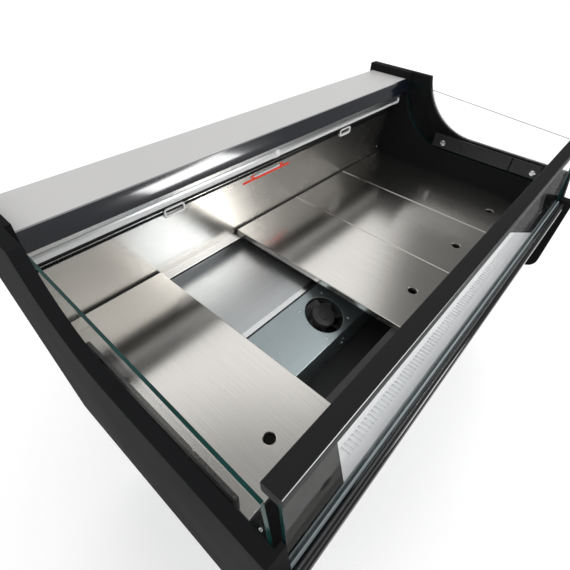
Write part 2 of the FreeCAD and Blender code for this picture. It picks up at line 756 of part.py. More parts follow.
def round_tool(radius, depth):
    """A cylinder that reaches as far above its own place as below it."""
    body = new_body()
    sketch = new_sketch(body, "XY_Plane", -depth / 2)
    add_circle(sketch, 0, 0, radius)
    pad(body, sketch, depth)
    return body


def fan_plate():
    drop = SHEET * PLATE_SPAN / S["plate_run"]
    corners = [
        (PLATE_REAR_Y, PLATE_TOP_Z),
        (PLATE_FRONT_Y, PLATE_FOOT_Z),
        (PLATE_FRONT_Y, FLOOR_Z),
        (PLATE_FRONT_Y + SHEET, FLOOR_Z),
        (PLATE_FRONT_Y + SHEET, PLATE_FOOT_Z - drop + SHEET * S["plate_fall"] / S["plate_run"]),
        (PLATE_REAR_Y, PLATE_TOP_Z - drop),
    ]
    body, _ = extrusion(corners, -HALF_WELL, S["well_length"])
    holes = [tilt(round_tool(S["fan_bore"] / 2, S["fan_depth"]), x) for x in fan_places()]
    node(cut(body, holes), "fan_plate")


def fan_screws():
    screws = []
    reach = S["fan_screw_pitch"] / 2
    for x in fan_places():
        heads = [rod(side * reach, front * reach, 0, S["fan_screw_head"] / 2, SHEET)
                 for side in (-1, 1) for front in (-1, 1)]
        screws.append(tilt(group(heads), x))
    node(group(screws), "fan_screws")


def fan_sizes(prefix):
    """All sizes of one kind of fan, by their names without the prefix."""
    mark = f"{prefix}_"
    return {name[len(mark):]: size for name, size in S.items() if name.startswith(mark)}


def fan_housing(fan, top):
    """Square frame below its own top face, with a cross of struts that carries motor and shaft."""
    foot = -top - fan["depth"]
    half = fan["frame"] / 2
    body = new_body()
    ring = new_sketch(body, "XY_Plane", -top)
    add_rectangle(ring, -half, -half, half, half)
    add_circle(ring, 0, 0, fan["bore"] / 2)
    pad(body, ring, fan["depth"], reverse=True)
    side = fan["strut"] / 2
    reach = (fan["bore"] + fan["frame"]) / 4
    for u, v in ((reach, side), (side, reach)):
        bar = new_sketch(body, "XY_Plane", foot)
        add_rectangle(bar, -u, -v, u, v)
        pad(body, bar, fan["strut"])
    shaft_length = fan["lift"] + fan["wheel"] - fan["cap"] - S["seat_gap"]
    for radius, height in ((fan["motor"] / 2, fan["motor_height"]), (S["shaft_radius"], shaft_length)):
        disc = new_sketch(body, "XY_Plane", foot)
        add_circle(disc, 0, 0, radius)
        pad(body, disc, height)
    return body


def fan_impeller(fan, top, blades):
    """Hub on the shaft with pitched blades that reach close to the throat."""
    foot = -top - fan["depth"] + fan["lift"]
    body = new_body()
    core = new_sketch(body, "XY_Plane", foot)
    add_circle(core, 0, 0, fan["hub"] / 2)
    pad(body, core, fan["wheel"])
    blade = new_sketch(body, "YZ_Plane")
    half_chord = fan["chord"] / 2
    half_rise = fan["rise"] / 2
    edge = fan["blade"] / 2
    middle = foot + fan["wheel"] / 2
    add_outline(blade, [
        (-half_chord, middle - half_rise - edge),
        (half_chord, middle + half_rise - edge),
        (half_chord, middle + half_rise + edge),
        (-half_chord, middle - half_rise + edge),
    ])
    vane = pad(body, blade, leg_of(fan["bore"] / 2 - S["fan_tip_gap"], half_chord))
    turn_round(body, vane, "Z_Axis", blades)
    socket = new_sketch(body, "XY_Plane", foot)
    add_circle(socket, 0, 0, S["shaft_radius"] + S["running_gap"])
    pocket(body, socket, fan["wheel"] - fan["cap"], reverse=True)
    return body


FAN_BLADES = 7
BLOWER_BLADES = 5


def evaporator_fans():
    fan = fan_sizes("fan")
    for number, x in enumerate(fan_places(), start=1):
        node(tilt(fan_housing(fan, SHEET), x), f"fan_housing_{number}")
        node(tilt(fan_impeller(fan, SHEET, FAN_BLADES), x), f"fan_impeller_{number}")


FIN_GAPS = 32
FIN_SHARE = 0.35
CORE_SHARE = 0.16


def finned_coil(length, depth, height):
    """Upright fins on both sides of a core of tubes, drawn from its lower left front corner."""
    body = new_body()
    plan = new_sketch(body, "XY_Plane")
    add_rectangle(plan, 0, 0, length, depth)
    pad(body, plan, height)
    pitch = length / (FIN_GAPS + FIN_SHARE)
    fin = pitch * FIN_SHARE
    core = depth * CORE_SHARE / 2
    gaps = new_sketch(body, "XY_Plane")
    add_rectangle(gaps, fin, -core, pitch, depth / 2 - core)
    add_rectangle(gaps, fin, depth / 2 + core, pitch, depth + core)
    opening = pocket(body, gaps, height * 2, reverse=True)
    repeat(body, opening, "X_Axis", FIN_GAPS, pitch)
    return body


def evaporator_coil():
    length = S["well_length"] - 2 * S["coil_end_gap"]
    coil = finned_coil(length, S["coil_depth"], S["coil_height"])
    place(coil, -length / 2, PLATE_REAR_Y + S["coil_gap"], FLOOR_Z)
    node(coil, "evaporator_coil")


def drain_outlet():
    """Drain spigot under the tank floor, with its flange against the casing."""
    y = PLATE_FRONT_Y - S["drain_setback"]
    flange = rod(0, y, CASING_FOOT_Z - S["rail_web"], S["drain_flange"], S["rail_web"])
    spigot = rod(0, y, CASING_FOOT_Z - S["drain_length"], S["drain_radius"], S["drain_length"])
    node(join([flange, spigot]), "drain_outlet")


# Return air grille and front

def grille():
    """Slotted strip with oblique ends, and a plain blank beyond each end."""
    depth = S["grille_depth"]
    front = S["grille_front_half"]
    rear = front - depth
    body = new_body()
    plan = new_sketch(body, "XY_Plane")
    add_outline(plan, [(-front, 0), (front, 0), (rear, depth), (-rear, depth)])
    pad(body, plan, S["grille_sheet"], reverse=True)
    first = -(S["slot_count"] - 1) * S["slot_pitch"] / 2
    slot = new_sketch(body, "XY_Plane")
    half = S["slot_width"] / 2
    add_rectangle(slot, first - half, S["slot_setback"], first + half, S["slot_setback"] + S["slot_length"])
    opening = pocket(body, slot, S["grille_sheet"])
    repeat(body, opening, "X_Axis", S["slot_count"], S["slot_pitch"])
    node(place(body, 0, FLANGE_REAR_Y, DECK_Z), "return_air_grille")
    blanks = []
    for side in (-1, 1):
        blank = new_body()
        sketch = new_sketch(blank, "XY_Plane")
        add_outline(sketch, [(side * front, 0), (side * HALF_WELL, 0),
                             (side * HALF_WELL, depth), (side * rear, depth)])
        pad(blank, sketch, S["grille_sheet"], reverse=True)
        blanks.append(place(blank, 0, FLANGE_REAR_Y, DECK_Z))
    node(group(blanks), "grille_end_blanks")


def front_profile():
    """Round-topped bar in front of the hinge bar, with a flange under it."""
    radius = S["profile_depth"] / 2
    crown = DECK_Z + S["profile_rise"] - radius
    flange = FRONT_WALL_TOP_Z + S["profile_flange"]
    corners = [
        (PROFILE_FRONT_Y + S["profile_lean"], FRONT_WALL_TOP_Z),
        (FLANGE_REAR_Y, FRONT_WALL_TOP_Z),
        (FLANGE_REAR_Y, flange),
        (PROFILE_REAR_Y, flange),
        (PROFILE_REAR_Y, crown),
        (PROFILE_FRONT_Y + radius, Guess((crown + radius).value)),
        (Guess(PROFILE_FRONT_Y.value), crown),
    ]
    centre = (PROFILE_FRONT_Y + radius, crown)
    body, _ = extrusion(corners, -HALF_WELL, S["well_length"], {4: centre, 5: centre})
    node(body, "front_profile")


def lean_back(item, x):
    """Puts an item drawn upright on the hinge axis at the lean of the front glass."""
    return turn(place(item, x, HINGE_Y, HINGE_Z), X_AXIS, -S["front_lean"])


def front_glass():
    half = S["glass_thickness"] / 2
    slack = S["running_gap"]
    start = -HALF_WELL + S["front_end_gap"]
    length = S["well_length"] - 2 * S["front_end_gap"]
    foot = -S["glass_sink"]
    top = S["front_glass_height"]
    pane = new_body()
    sketch = new_sketch(pane, "YZ_Plane")
    add_rectangle(sketch, -half, foot, half, top)
    pad(pane, sketch, length)
    node(lean_back(pane, start), "front_glass")

    rail = new_body()
    sketch = new_sketch(rail, "YZ_Plane")
    low = top - S["rail_cover"]
    add_outline(sketch, [
        (-S["rail_front"], top - S["rail_lip"]),
        (-half - slack, top - S["rail_lip"]),
        (-half - slack, top),
        (half + slack, top),
        (half + slack, low),
        (S["rail_rear"], low),
        (S["rail_rear"], low + S["rail_height"]),
        (-S["rail_front"], low + S["rail_height"]),
    ])
    block = pad(rail, sketch, length)
    crown = (low + S["rail_height"]).value

    def outer_edge(edge):
        point = edge.Vertexes[0].Point
        on_top = abs(point.z - crown) < NEAR
        at_rear = point.y > S["rail_rear"].value - NEAR
        return runs_along_x(edge) and (on_top or at_rear)
    round_edges(rail, block, S["rail_round"], outer_edge)
    node(lean_back(rail, start), "front_glass_top_rail")

    bar = new_body()
    ring = new_sketch(bar, "YZ_Plane")
    add_circle(ring, 0, 0, S["bar_radius"])
    pad(bar, ring, length)
    groove = new_sketch(bar, "YZ_Plane")
    add_rectangle(groove, -half - slack, foot, half + slack, S["bar_radius"] * 2)
    pocket(bar, groove, length, reverse=True)
    pin = new_sketch(bar, "YZ_Plane", -S["front_end_gap"] - S["pin_length"])
    add_circle(pin, 0, 0, S["pin_radius"])
    pad(bar, pin, S["front_end_gap"] + S["pin_length"])
    pin = new_sketch(bar, "YZ_Plane", length)
    add_circle(pin, 0, 0, S["pin_radius"])
    pad(bar, pin, S["front_end_gap"] + S["pin_length"])
    node(lean_back(bar, start), "front_glass_hinge_bar")


# End panels and end glass

def end_outline():
    start = FRONT_Y + S["sweep_start"]
    centre_z = SHOULDER_Z + S["sweep_radius"]
    fall = (centre_z - END_TOP_Z).value
    reach = start.value + math.sqrt(S["sweep_radius"].value ** 2 - fall ** 2)
    corners = [
        (FRONT_Y + S["nose_length"] + S["nose_lean"], SHOULDER_Z),
        (start, SHOULDER_Z),
        (Guess(reach), END_TOP_Z),
        (REAR_Y, END_TOP_Z),
        (REAR_Y, SHOULDER_Z),
        (REAR_Y - S["end_toe"], END_FOOT_Z),
        (FRONT_Y, END_FOOT_Z),
        (FRONT_Y, DECK_Z + S["nose_rise"]),
        (FRONT_Y + S["nose_length"], DECK_Z + S["nose_rise"]),
    ]
    return corners, {1: (start, centre_z)}


def recess_outline():
    start = FRONT_Y + S["glass_sweep_start"]
    foot = DECK_Z + S["recess_rise"]
    radius = S["glass_sweep"] + S["recess_gap"]
    front = FRONT_Y + S["recess_setback"]
    above = END_TOP_Z + S["end_top_rise"]
    corners = [
        (front, foot),
        (start, foot),
        (Guess((start + radius).value), foot + radius),
        (start + radius, above),
        (front, above),
    ]
    return corners, {1: (start, foot + radius)}


def end_panel(label, side):
    left = side < 0
    body = new_body()
    sketch = new_sketch(body, "YZ_Plane")
    corners, arcs = end_outline()
    add_outline(sketch, corners, arcs)
    block = pad(body, sketch, S["end_thickness"], reverse=left)
    nosed = round_edges(body, block, S["nose_round"], run_through(FRONT_Y, END_FOOT_Z))

    def outer_rim(edge):
        limits = edge.BoundBox
        reach = S["end_thickness"].value - NEAR
        return abs(limits.XMin) > reach and abs(limits.XMax) > reach
    round_edges(body, nosed, S["end_round"], outer_rim)
    recess = new_sketch(body, "YZ_Plane")
    corners, arcs = recess_outline()
    add_outline(recess, corners, arcs)
    pocket(body, recess, S["recess_depth"], reverse=not left)
    bore = new_sketch(body, "YZ_Plane")
    add_circle(bore, HINGE_Y, HINGE_Z, S["pin_radius"] + S["running_gap"])
    pocket(body, bore, S["pin_length"] + S["seat_gap"], reverse=not left)
    node(place(body, side * HALF_WELL), label)


def end_glass(label, side):
    start = FRONT_Y + S["glass_sweep_start"]
    foot = DECK_Z + S["recess_rise"] + S["recess_gap"]
    radius = S["glass_sweep"]
    front = FRONT_Y + S["recess_setback"] + S["recess_gap"]
    corners = [
        (front, foot),
        (start, foot),
        (Guess((start + radius).value), foot + radius),
        (start + radius - S["recess_gap"], DECK_Z + S["end_glass_rear_rise"] + S["recess_gap"]),
        (front + S["end_glass_lean"], DECK_Z + S["end_glass_front_rise"]),
    ]
    pane = new_body()
    sketch = new_sketch(pane, "YZ_Plane")
    add_outline(sketch, corners, {1: (start, foot + radius)})
    pad(pane, sketch, S["glass_thickness"], reverse=side < 0)
    inset = S["recess_depth"] - S["glass_thickness"]
    node(place(pane, side * (HALF_WELL + inset)), label)


def span(side, near, far):
    """Lower and upper X of a piece that lies between two distances from the middle."""
    return (near, far) if side > 0 else (-far, -near)


def clamp_starts():
    first = FRONT_Y + S["clamp_start"]
    second = first + S["clamp_short"] + S["clamp_space"]
    return [(first, S["clamp_short"]), (second, S["clamp_long"])]


def glass_clamps():
    plates = []
    screws = []
    depth = S["recess_depth"] - S["glass_thickness"]
    foot = DECK_Z + S["clamp_rise"]
    (first, _), (second, _) = clamp_starts()
    screw_places = [first + S["clamp_screw"], second + S["clamp_long"] - 2 * S["clamp_screw"]]
    for side in (-1, 1):
        x0, x1 = span(side, HALF_WELL, HALF_WELL + depth)
        for y, length in clamp_starts():
            plates.append(box(x0, y, foot, x1, y + length, foot + S["clamp_height"]))
        x0, _ = span(side, HALF_WELL - S["rail_web"], HALF_WELL)
        for y in screw_places:
            z = DECK_Z + S["clamp_screw_rise"]
            screws.append(rod(x0, y, z, S["clamp_screw"] / 2, S["rail_web"], "X"))
    node(group(plates), "end_glass_clamps")
    node(group(screws), "end_glass_screws")


# Worktop, riser and lamp

def worktop():
    """Flat top with two sloping fascia strips end to end along its front edge."""
    front = FASCIA_Y + S["fascia_sheet"]
    node(box(-HALF_WELL, front, WORKTOP_FOOT_Z, HALF_WELL, WORKTOP_REAR_Y, TOP_Z), "worktop")
    foot = TOP_Z - S["fascia_height"]
    corners = [
        (FASCIA_Y, TOP_Z),
        (front, TOP_Z),
        (front, foot),
        (FASCIA_Y - S["fascia_lean"], foot),
    ]
    strips = []
    for side in (-1, 1):
        x0, x1 = span(side, S["fascia_joint"], HALF_WELL)
        strip, _ = extrusion(corners, x0, x1 - x0)
        strips.append(strip)
    node(group(strips), "fascia_strips")


def riser():
    """Channel that carries the worktop, with a lip over the air outlet and a cut-out for the controls."""
    floor = TANK_TOP_Z + SHEET
    corners = [
        (REAR_WALL_Y, TANK_TOP_Z),
        (RISER_REAR_Y, TANK_TOP_Z),
        (RISER_REAR_Y, WORKTOP_FOOT_Z),
        (RISER_REAR_Y - SHEET, WORKTOP_FOOT_Z),
        (RISER_REAR_Y - SHEET, floor),
        (RISER_FRONT_Y + SHEET, floor),
        (RISER_FRONT_Y + SHEET, WORKTOP_FOOT_Z),
        (RISER_FRONT_Y, WORKTOP_FOOT_Z),
        (RISER_FRONT_Y, floor),
        (REAR_WALL_Y, floor),
    ]
    body, _ = extrusion(corners, -HALF_WELL, S["well_length"])
    margin = S["control_margin"]
    half_length = S["control_length"] / 2 - margin
    half_height = CONTROL_HALF_HEIGHT - margin
    window = box(CONTROL_X - half_length, RISER_REAR_Y - 2 * SHEET, CONTROL_Z - half_height,
                 CONTROL_X + half_length, RISER_REAR_Y + SHEET, CONTROL_Z + half_height)
    node(cut(body, [window]), "rear_riser")


def lamp():
    """Inverted channel under the worktop with two tubes end to end between four holders."""
    wall = S["lamp_rail_wall"]
    half = S["lamp_rail_width"] / 2
    foot = LAMP_Z + S["tube_radius"] + wall
    corners = [
        (LAMP_Y - half, foot),
        (LAMP_Y - half + wall, foot),
        (LAMP_Y - half + wall, WORKTOP_FOOT_Z - wall),
        (LAMP_Y + half - wall, WORKTOP_FOOT_Z - wall),
        (LAMP_Y + half - wall, foot),
        (LAMP_Y + half, foot),
        (LAMP_Y + half, WORKTOP_FOOT_Z),
        (LAMP_Y - half, WORKTOP_FOOT_Z),
    ]
    body, _ = extrusion(corners, -HALF_WELL, S["well_length"])
    node(body, "lamp_rail")
    tubes = []
    holders = []
    length = S["holder_length"]
    neck = S["holder_neck"] / 2
    for side in (-1, 1):
        x0, x1 = span(side, length, HALF_WELL - length)
        tubes.append(rod(x0, LAMP_Y, LAMP_Z, S["tube_radius"], x1 - x0, "X"))
        for near, far in ((S["holder_joint"], length), (HALF_WELL - length, HALF_WELL)):
            h0, h1 = span(side, near, far)
            cap = rod(h0, LAMP_Y, LAMP_Z, S["holder_radius"], h1 - h0, "X")
            stem = box(h0, LAMP_Y - neck, LAMP_Z, h1, LAMP_Y + neck, WORKTOP_FOOT_Z - wall)
            holders.append(join([cap, stem]))
    node(group(tubes), "lamp_tubes")
    node(group(holders), "lamp_holders")


def panel_screws():
    """Small screws at the foot of the rear wall and on the grille blanks."""
    radius = S["fan_screw_head"] / 2
    screws = []
    for side in (-1, 1):
        inset = S["wall_screw_inset"]
        x = side * (HALF_WELL - inset)
        screws.append(rod(x, REAR_WALL_Y - SHEET, DECK_Z + inset, radius, SHEET, "Y"))
        for y in (FLANGE_REAR_Y + S["blank_screw_inset"], GRILLE_REAR_Y - S["blank_screw_inset"]):
            screws.append(rod(x, y, DECK_Z, radius, SHEET))
    node(group(screws), "panel_screws")


# Base and condensing unit

def base():
    half = S["base_half"]
    wall = S["base_wall"]
    foot = S["foot_height"]
    node(box(-half, BASE_FRONT_Y, foot, half, BASE_REAR_Y, BASE_FLOOR_Z), "base_floor")
    walls = []
    for side in (-1, 1):
        x0, x1 = span(side, half - wall, half)
        walls.append(box(x0, BASE_FRONT_Y, BASE_FLOOR_Z, x1, BASE_REAR_Y, CASING_FOOT_Z))
    node(group(walls), "base_side_panels")
    face = BASE_FRONT_Y - S["front_sheet"]
    node(box(-half, face, foot, half, BASE_FRONT_Y, CASING_FOOT_Z), "base_front_panel")
    rear_panel(half - wall, BASE_FLOOR_Z)
    feet = []
    for side in (-1, 1):
        for y in (BASE_FRONT_Y + S["foot_inset"], BASE_REAR_Y - S["foot_inset"]):
            x = side * (half - S["foot_inset"])
            disc = rod(x, y, 0, S["foot_radius"], S["foot_pad"])
            feet.append(join([disc, rod(x, y, 0, S["foot_stem"], foot)]))
    node(group(feet), "levelling_feet")


def rear_panel(half, foot):
    """Plate at the rear of the base with two columns of louvre slots."""
    body = new_body()
    face = new_sketch(body, "XZ_Plane")
    add_rectangle(face, -half, 0, half, CASING_FOOT_Z - foot)
    pad(body, face, S["rear_sheet"])
    row = new_sketch(body, "XZ_Plane")
    for side in (-1, 1):
        u0, u1 = span(side, half / 2 - S["louvre_length"] / 2, half / 2 + S["louvre_length"] / 2)
        add_rectangle(row, u0, S["louvre_start"], u1, S["louvre_start"] + S["louvre_height"])
    opening = pocket(body, row, S["rear_sheet"], reverse=True)
    repeat(body, opening, "Z_Axis", S["louvre_count"], S["louvre_pitch"])
    node(place(body, 0, BASE_REAR_Y, foot), "rear_louvre_panel")
    x = half - S["foot_inset"]
    z = foot + S["louvre_start"] / 2
    nut = rod(x, BASE_REAR_Y, z, S["gland_nut"], S["gland_nut_length"], "Y")
    throat = rod(x, BASE_REAR_Y, z, S["gland_radius"], S["gland_length"], "Y")
    node(join([nut, throat]), "cable_gland")


def condensing_unit():
    unit_y = BASE_FRONT_Y + S["unit_setback"]
    radius = S["compressor_radius"]
    plate_top = BASE_FLOOR_Z + S["compressor_foot"]
    x = S["compressor_x"]
    plate = box(x - radius, unit_y - radius, BASE_FLOOR_Z, x + radius, unit_y + radius, plate_top)
    shell = rod(x, unit_y, plate_top, radius, S["compressor_height"])
    dome = doc.addObject("Part::Ellipsoid", "Dome")
    bind(dome, "Radius1", S["compressor_dome"])
    bind(dome, "Radius2", radius)
    bind(dome, "Radius3", radius)
    place(dome, x, unit_y, plate_top + S["compressor_height"])
    node(join([plate, shell, dome]), "compressor")

    coil_y = BASE_FRONT_Y + S["condenser_setback"]
    coil = finned_coil(S["condenser_length"], S["condenser_depth"], S["condenser_height"])
    place(coil, -S["condenser_x"] - S["condenser_length"] / 2, coil_y, BASE_FLOOR_Z)
    node(coil, "condenser_coil")

    # The fan looks forward: its own axis points along -Y.
    blower = fan_sizes("blower")
    front = coil_y + S["condenser_depth"]
    middle = BASE_FLOOR_Z + blower["frame"] / 2
    housing = fan_housing(blower, as_size(0))
    impeller = fan_impeller(blower, as_size(0), BLOWER_BLADES)
    for label, item in (("condenser_fan_frame", housing), ("condenser_fan_impeller", impeller)):
        place(item, -S["condenser_x"], front, middle)
        node(turn(item, X_AXIS, 90), label)


# Controls

def controls():
    sheet_depth = S["control_sheet"]
    half_length = S["control_length"] / 2
    foot = CONTROL_Z - CONTROL_HALF_HEIGHT
    top = CONTROL_Z + CONTROL_HALF_HEIGHT
    face_y = RISER_REAR_Y + sheet_depth
    plate = box(CONTROL_X - half_length, RISER_REAR_Y, foot, CONTROL_X + half_length, face_y, top)
    radius = S["button_radius"]
    button_z = foot + S["button_rise"]
    rocker_x = CONTROL_X + S["rocker_offset"]
    half_width = S["rocker_width"] / 2
    rise = S["rocker_height"] / 2 + S["rocker_swing"]
    gap = S["rocker_gap"]
    tools = [box(rocker_x - half_width - gap, RISER_REAR_Y - sheet_depth, CONTROL_Z - rise,
                 rocker_x + half_width + gap, face_y + sheet_depth, CONTROL_Z + rise)]
    pin_reach = half_width + S["rocker_pin_length"] + S["seat_gap"]
    tools.append(rod(rocker_x - pin_reach, RISER_REAR_Y + sheet_depth / 2, CONTROL_Z,
                     S["rocker_pin"] + S["running_gap"], 2 * pin_reach, "X"))
    display_x = CONTROL_X - S["button_pitch"]
    reach = S["display_length"] / 2
    tools.append(box(display_x - reach, face_y - SHEET / 2, CONTROL_Z,
                     display_x + reach, face_y + SHEET, top - S["control_margin"]))
    flange_foot = RISER_REAR_Y - S["button_flange_depth"] - S["seat_gap"]
    for number, name in enumerate(("set", "down", "up")):
        bx = CONTROL_X + (number - 2) * S["button_pitch"]
        hole_radius = radius + S["button_gap"]
        tools.append(rod(bx, RISER_REAR_Y - sheet_depth, button_z, hole_radius, 3 * sheet_depth, "Y"))
        cap = rod(bx, flange_foot, button_z, radius, face_y + S["button_proud"] - flange_foot, "Y")
        flange_radius = radius + S["button_flange"]
        flange = rod(bx, flange_foot, button_z, flange_radius, S["button_flange_depth"], "Y")
        node(join([cap, flange]), f"button_{name}")
    node(cut(plate, tools), "control_plate")
    rocker = new_body()
    sketch = new_sketch(rocker, "YZ_Plane")
    half_depth = S["rocker_depth"] / 2
    add_rectangle(sketch, -half_depth, -S["rocker_height"] / 2, half_depth, S["rocker_height"] / 2)
    pad(rocker, sketch, S["rocker_width"])
    pin = new_sketch(rocker, "YZ_Plane", -S["rocker_pin_length"])
    add_circle(pin, 0, 0, S["rocker_pin"])
    pad(rocker, pin, S["rocker_width"] + 2 * S["rocker_pin_length"])
    place(rocker, rocker_x - half_width, RISER_REAR_Y + sheet_depth / 2, CONTROL_Z)
    node(turn(rocker, X_AXIS, -S["rocker_tilt"]), "light_switch_rocker")


def build():
    tank()
    rear_wall()
    air_outlet()
    outlet_clips()
    deck_rails()
    for number in range(1, int(S["panel_count"].value) + 1):
        if number != REMOVED_PANEL:
            deck_panel(number)
    evaporator_cover()
    fan_plate()
    fan_screws()
    evaporator_fans()
    evaporator_coil()
    drain_outlet()
    grille()
    front_profile()
    front_glass()
    for label, side in (("left_end_panel", -1), ("right_end_panel", 1)):
        end_panel(label, side)
    for label, side in (("left_end_glass", -1), ("right_end_glass", 1)):
        end_glass(label, side)
    glass_clamps()
    worktop()
    riser()
    lamp()
    panel_screws()
    base()
    condensing_unit()
    controls()
    doc.recompute()


def check():
    for item in doc.Objects:
        if "Invalid" in item.State or "Error" in item.State:
            raise RuntimeError(f"{item.Label} ({item.Name}) failed: {item.getStatusString()}")
    for item in nodes:
        if item.Shape.isNull() or not item.Shape.isValid() or not item.Shape.Solids:
            raise RuntimeError(f"{item.Label} has no valid solid")


def export():
    os.makedirs("parts", exist_ok=True)
    for item in nodes:
        item.Shape.exportStep(os.path.join("parts", f"{item.Label}.step"))
        limits = item.Shape.BoundBox
        print(f"{item.Label:24s} solids {len(item.Shape.Solids):3d} volume {item.Shape.Volume:12.0f}"
              f"  x {limits.XMin:8.1f} {limits.XMax:8.1f}  y {limits.YMin:8.1f} {limits.YMax:8.1f}"
              f"  z {limits.ZMin:7.1f} {limits.ZMax:7.1f}")


build()
check()
export()
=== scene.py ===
import json
import math

import bmesh
import bpy
from mathutils import Matrix, Vector


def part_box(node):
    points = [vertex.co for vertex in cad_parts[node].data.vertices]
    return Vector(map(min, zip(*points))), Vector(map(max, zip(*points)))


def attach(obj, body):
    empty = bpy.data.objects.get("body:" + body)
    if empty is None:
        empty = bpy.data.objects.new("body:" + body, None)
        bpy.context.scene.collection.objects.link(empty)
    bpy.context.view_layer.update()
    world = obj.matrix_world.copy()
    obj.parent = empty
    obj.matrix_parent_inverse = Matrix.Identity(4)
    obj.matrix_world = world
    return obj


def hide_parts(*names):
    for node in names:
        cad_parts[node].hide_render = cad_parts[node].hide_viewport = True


# Refrigerated serve-over display counter: finishes, small fittings, light and camera.
# Metres, +Z up, +X along the counter, -Y towards the customer.

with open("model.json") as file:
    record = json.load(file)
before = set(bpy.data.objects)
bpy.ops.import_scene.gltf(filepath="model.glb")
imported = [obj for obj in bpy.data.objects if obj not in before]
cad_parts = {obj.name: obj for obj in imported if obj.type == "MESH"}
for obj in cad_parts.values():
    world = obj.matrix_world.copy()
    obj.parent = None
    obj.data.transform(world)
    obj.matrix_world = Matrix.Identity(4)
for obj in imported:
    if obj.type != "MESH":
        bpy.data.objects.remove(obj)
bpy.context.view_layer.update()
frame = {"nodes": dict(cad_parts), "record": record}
NODES = frame["nodes"]
MM = 0.001
SCENE = bpy.context.scene

# Camera of the photograph: place, heading from +X towards +Y, downward pitch and roll
CAMERA_PLACE = Vector((-0.850, -0.4605, 1.390))
CAMERA_HEADING = math.radians(38.86)
CAMERA_PITCH = math.radians(42.94)
CAMERA_ROLL = math.radians(3.902)
CAMERA_LENS = 25.07
CAMERA_NEAR = 0.01

# Two directions count as one where the cosine between them is above this
FACING = 0.9


def make_camera():
    forward = Vector((
        math.cos(CAMERA_PITCH) * math.cos(CAMERA_HEADING),
        math.cos(CAMERA_PITCH) * math.sin(CAMERA_HEADING),
        -math.sin(CAMERA_PITCH),
    ))
    level = Vector((math.sin(CAMERA_HEADING), -math.cos(CAMERA_HEADING), 0))
    upright = level.cross(forward)
    right = level * math.cos(CAMERA_ROLL) + upright * math.sin(CAMERA_ROLL)
    up = upright * math.cos(CAMERA_ROLL) - level * math.sin(CAMERA_ROLL)
    data = bpy.data.cameras.new("camera")
    data.lens = CAMERA_LENS
    data.clip_start = CAMERA_NEAR
    camera = bpy.data.objects.new("camera", data)
    camera.matrix_world = Matrix((right, up, -forward)).transposed().to_4x4()
    camera.location = CAMERA_PLACE
    SCENE.collection.objects.link(camera)
    SCENE.camera = camera


# Materials

# The part of a 0 to 1 noise pattern that holds nearly all of its values
NOISE_LOW = 0.25
NOISE_HIGH = 0.75

# Brushed metal: how far the lines are drawn out, their detail, depth and strength, the turn of the
# highlight, and the broad uneven gloss
BRUSH_STRETCH = 0.012
BRUSH_DETAIL = 3.0
BRUSH_DEPTH = 4e-6
BRUSH_STRENGTH = 0.5
BRUSH_TURN = 0.25
BRUSH_CLOUD = 3.0
BRUSH_GLOSS = 0.03

# Grained surfaces: detail of the grain, strength of its relief, and the broad handling marks
GRAIN_DETAIL = 2.0
GRAIN_STRENGTH = 0.6
GRAIN_CLOUD = 4.0
GRAIN_CLOUD_DETAIL = 3.0

# Directions that brushed metal is drawn along, a little askew so that no face lies square to one
ALONG_X = (1.0, 0.02, 0.03)
ALONG_Y = (0.02, 1.0, 0.03)

# Brushed metals: name, colour, roughness, direction of the lines, anisotropy, how much the colour
# varies, and the scale of the lines
BRUSHED = {
    "brushed_stainless": ("stainless_deck", (0.77, 0.748, 0.708), 0.195, ALONG_Y, 0.4, 0.06, 520.0),
    "stainless_wall": ("stainless_wall", (0.86, 0.84, 0.80), 0.27, ALONG_X, 0.6, 0.06, 520.0),
    "bright_aluminium": ("bright_aluminium", (0.83, 0.84, 0.85), 0.22, ALONG_X, 0.4, 0.04, 520.0),
    "galvanised": ("galvanised_cover", (0.80, 0.83, 0.85), 0.41, ALONG_X, 0.2, 0.04, 260.0),
    "deck_rail_satin": ("deck_rail_satin", (0.66, 0.655, 0.64), 0.38, ALONG_X, 0.4, 0.05, 520.0),
    "lamp_rail_satin": ("lamp_rail_satin", (0.86, 0.87, 0.875), 0.36, ALONG_X, 0.5, 0.06, 520.0),
}

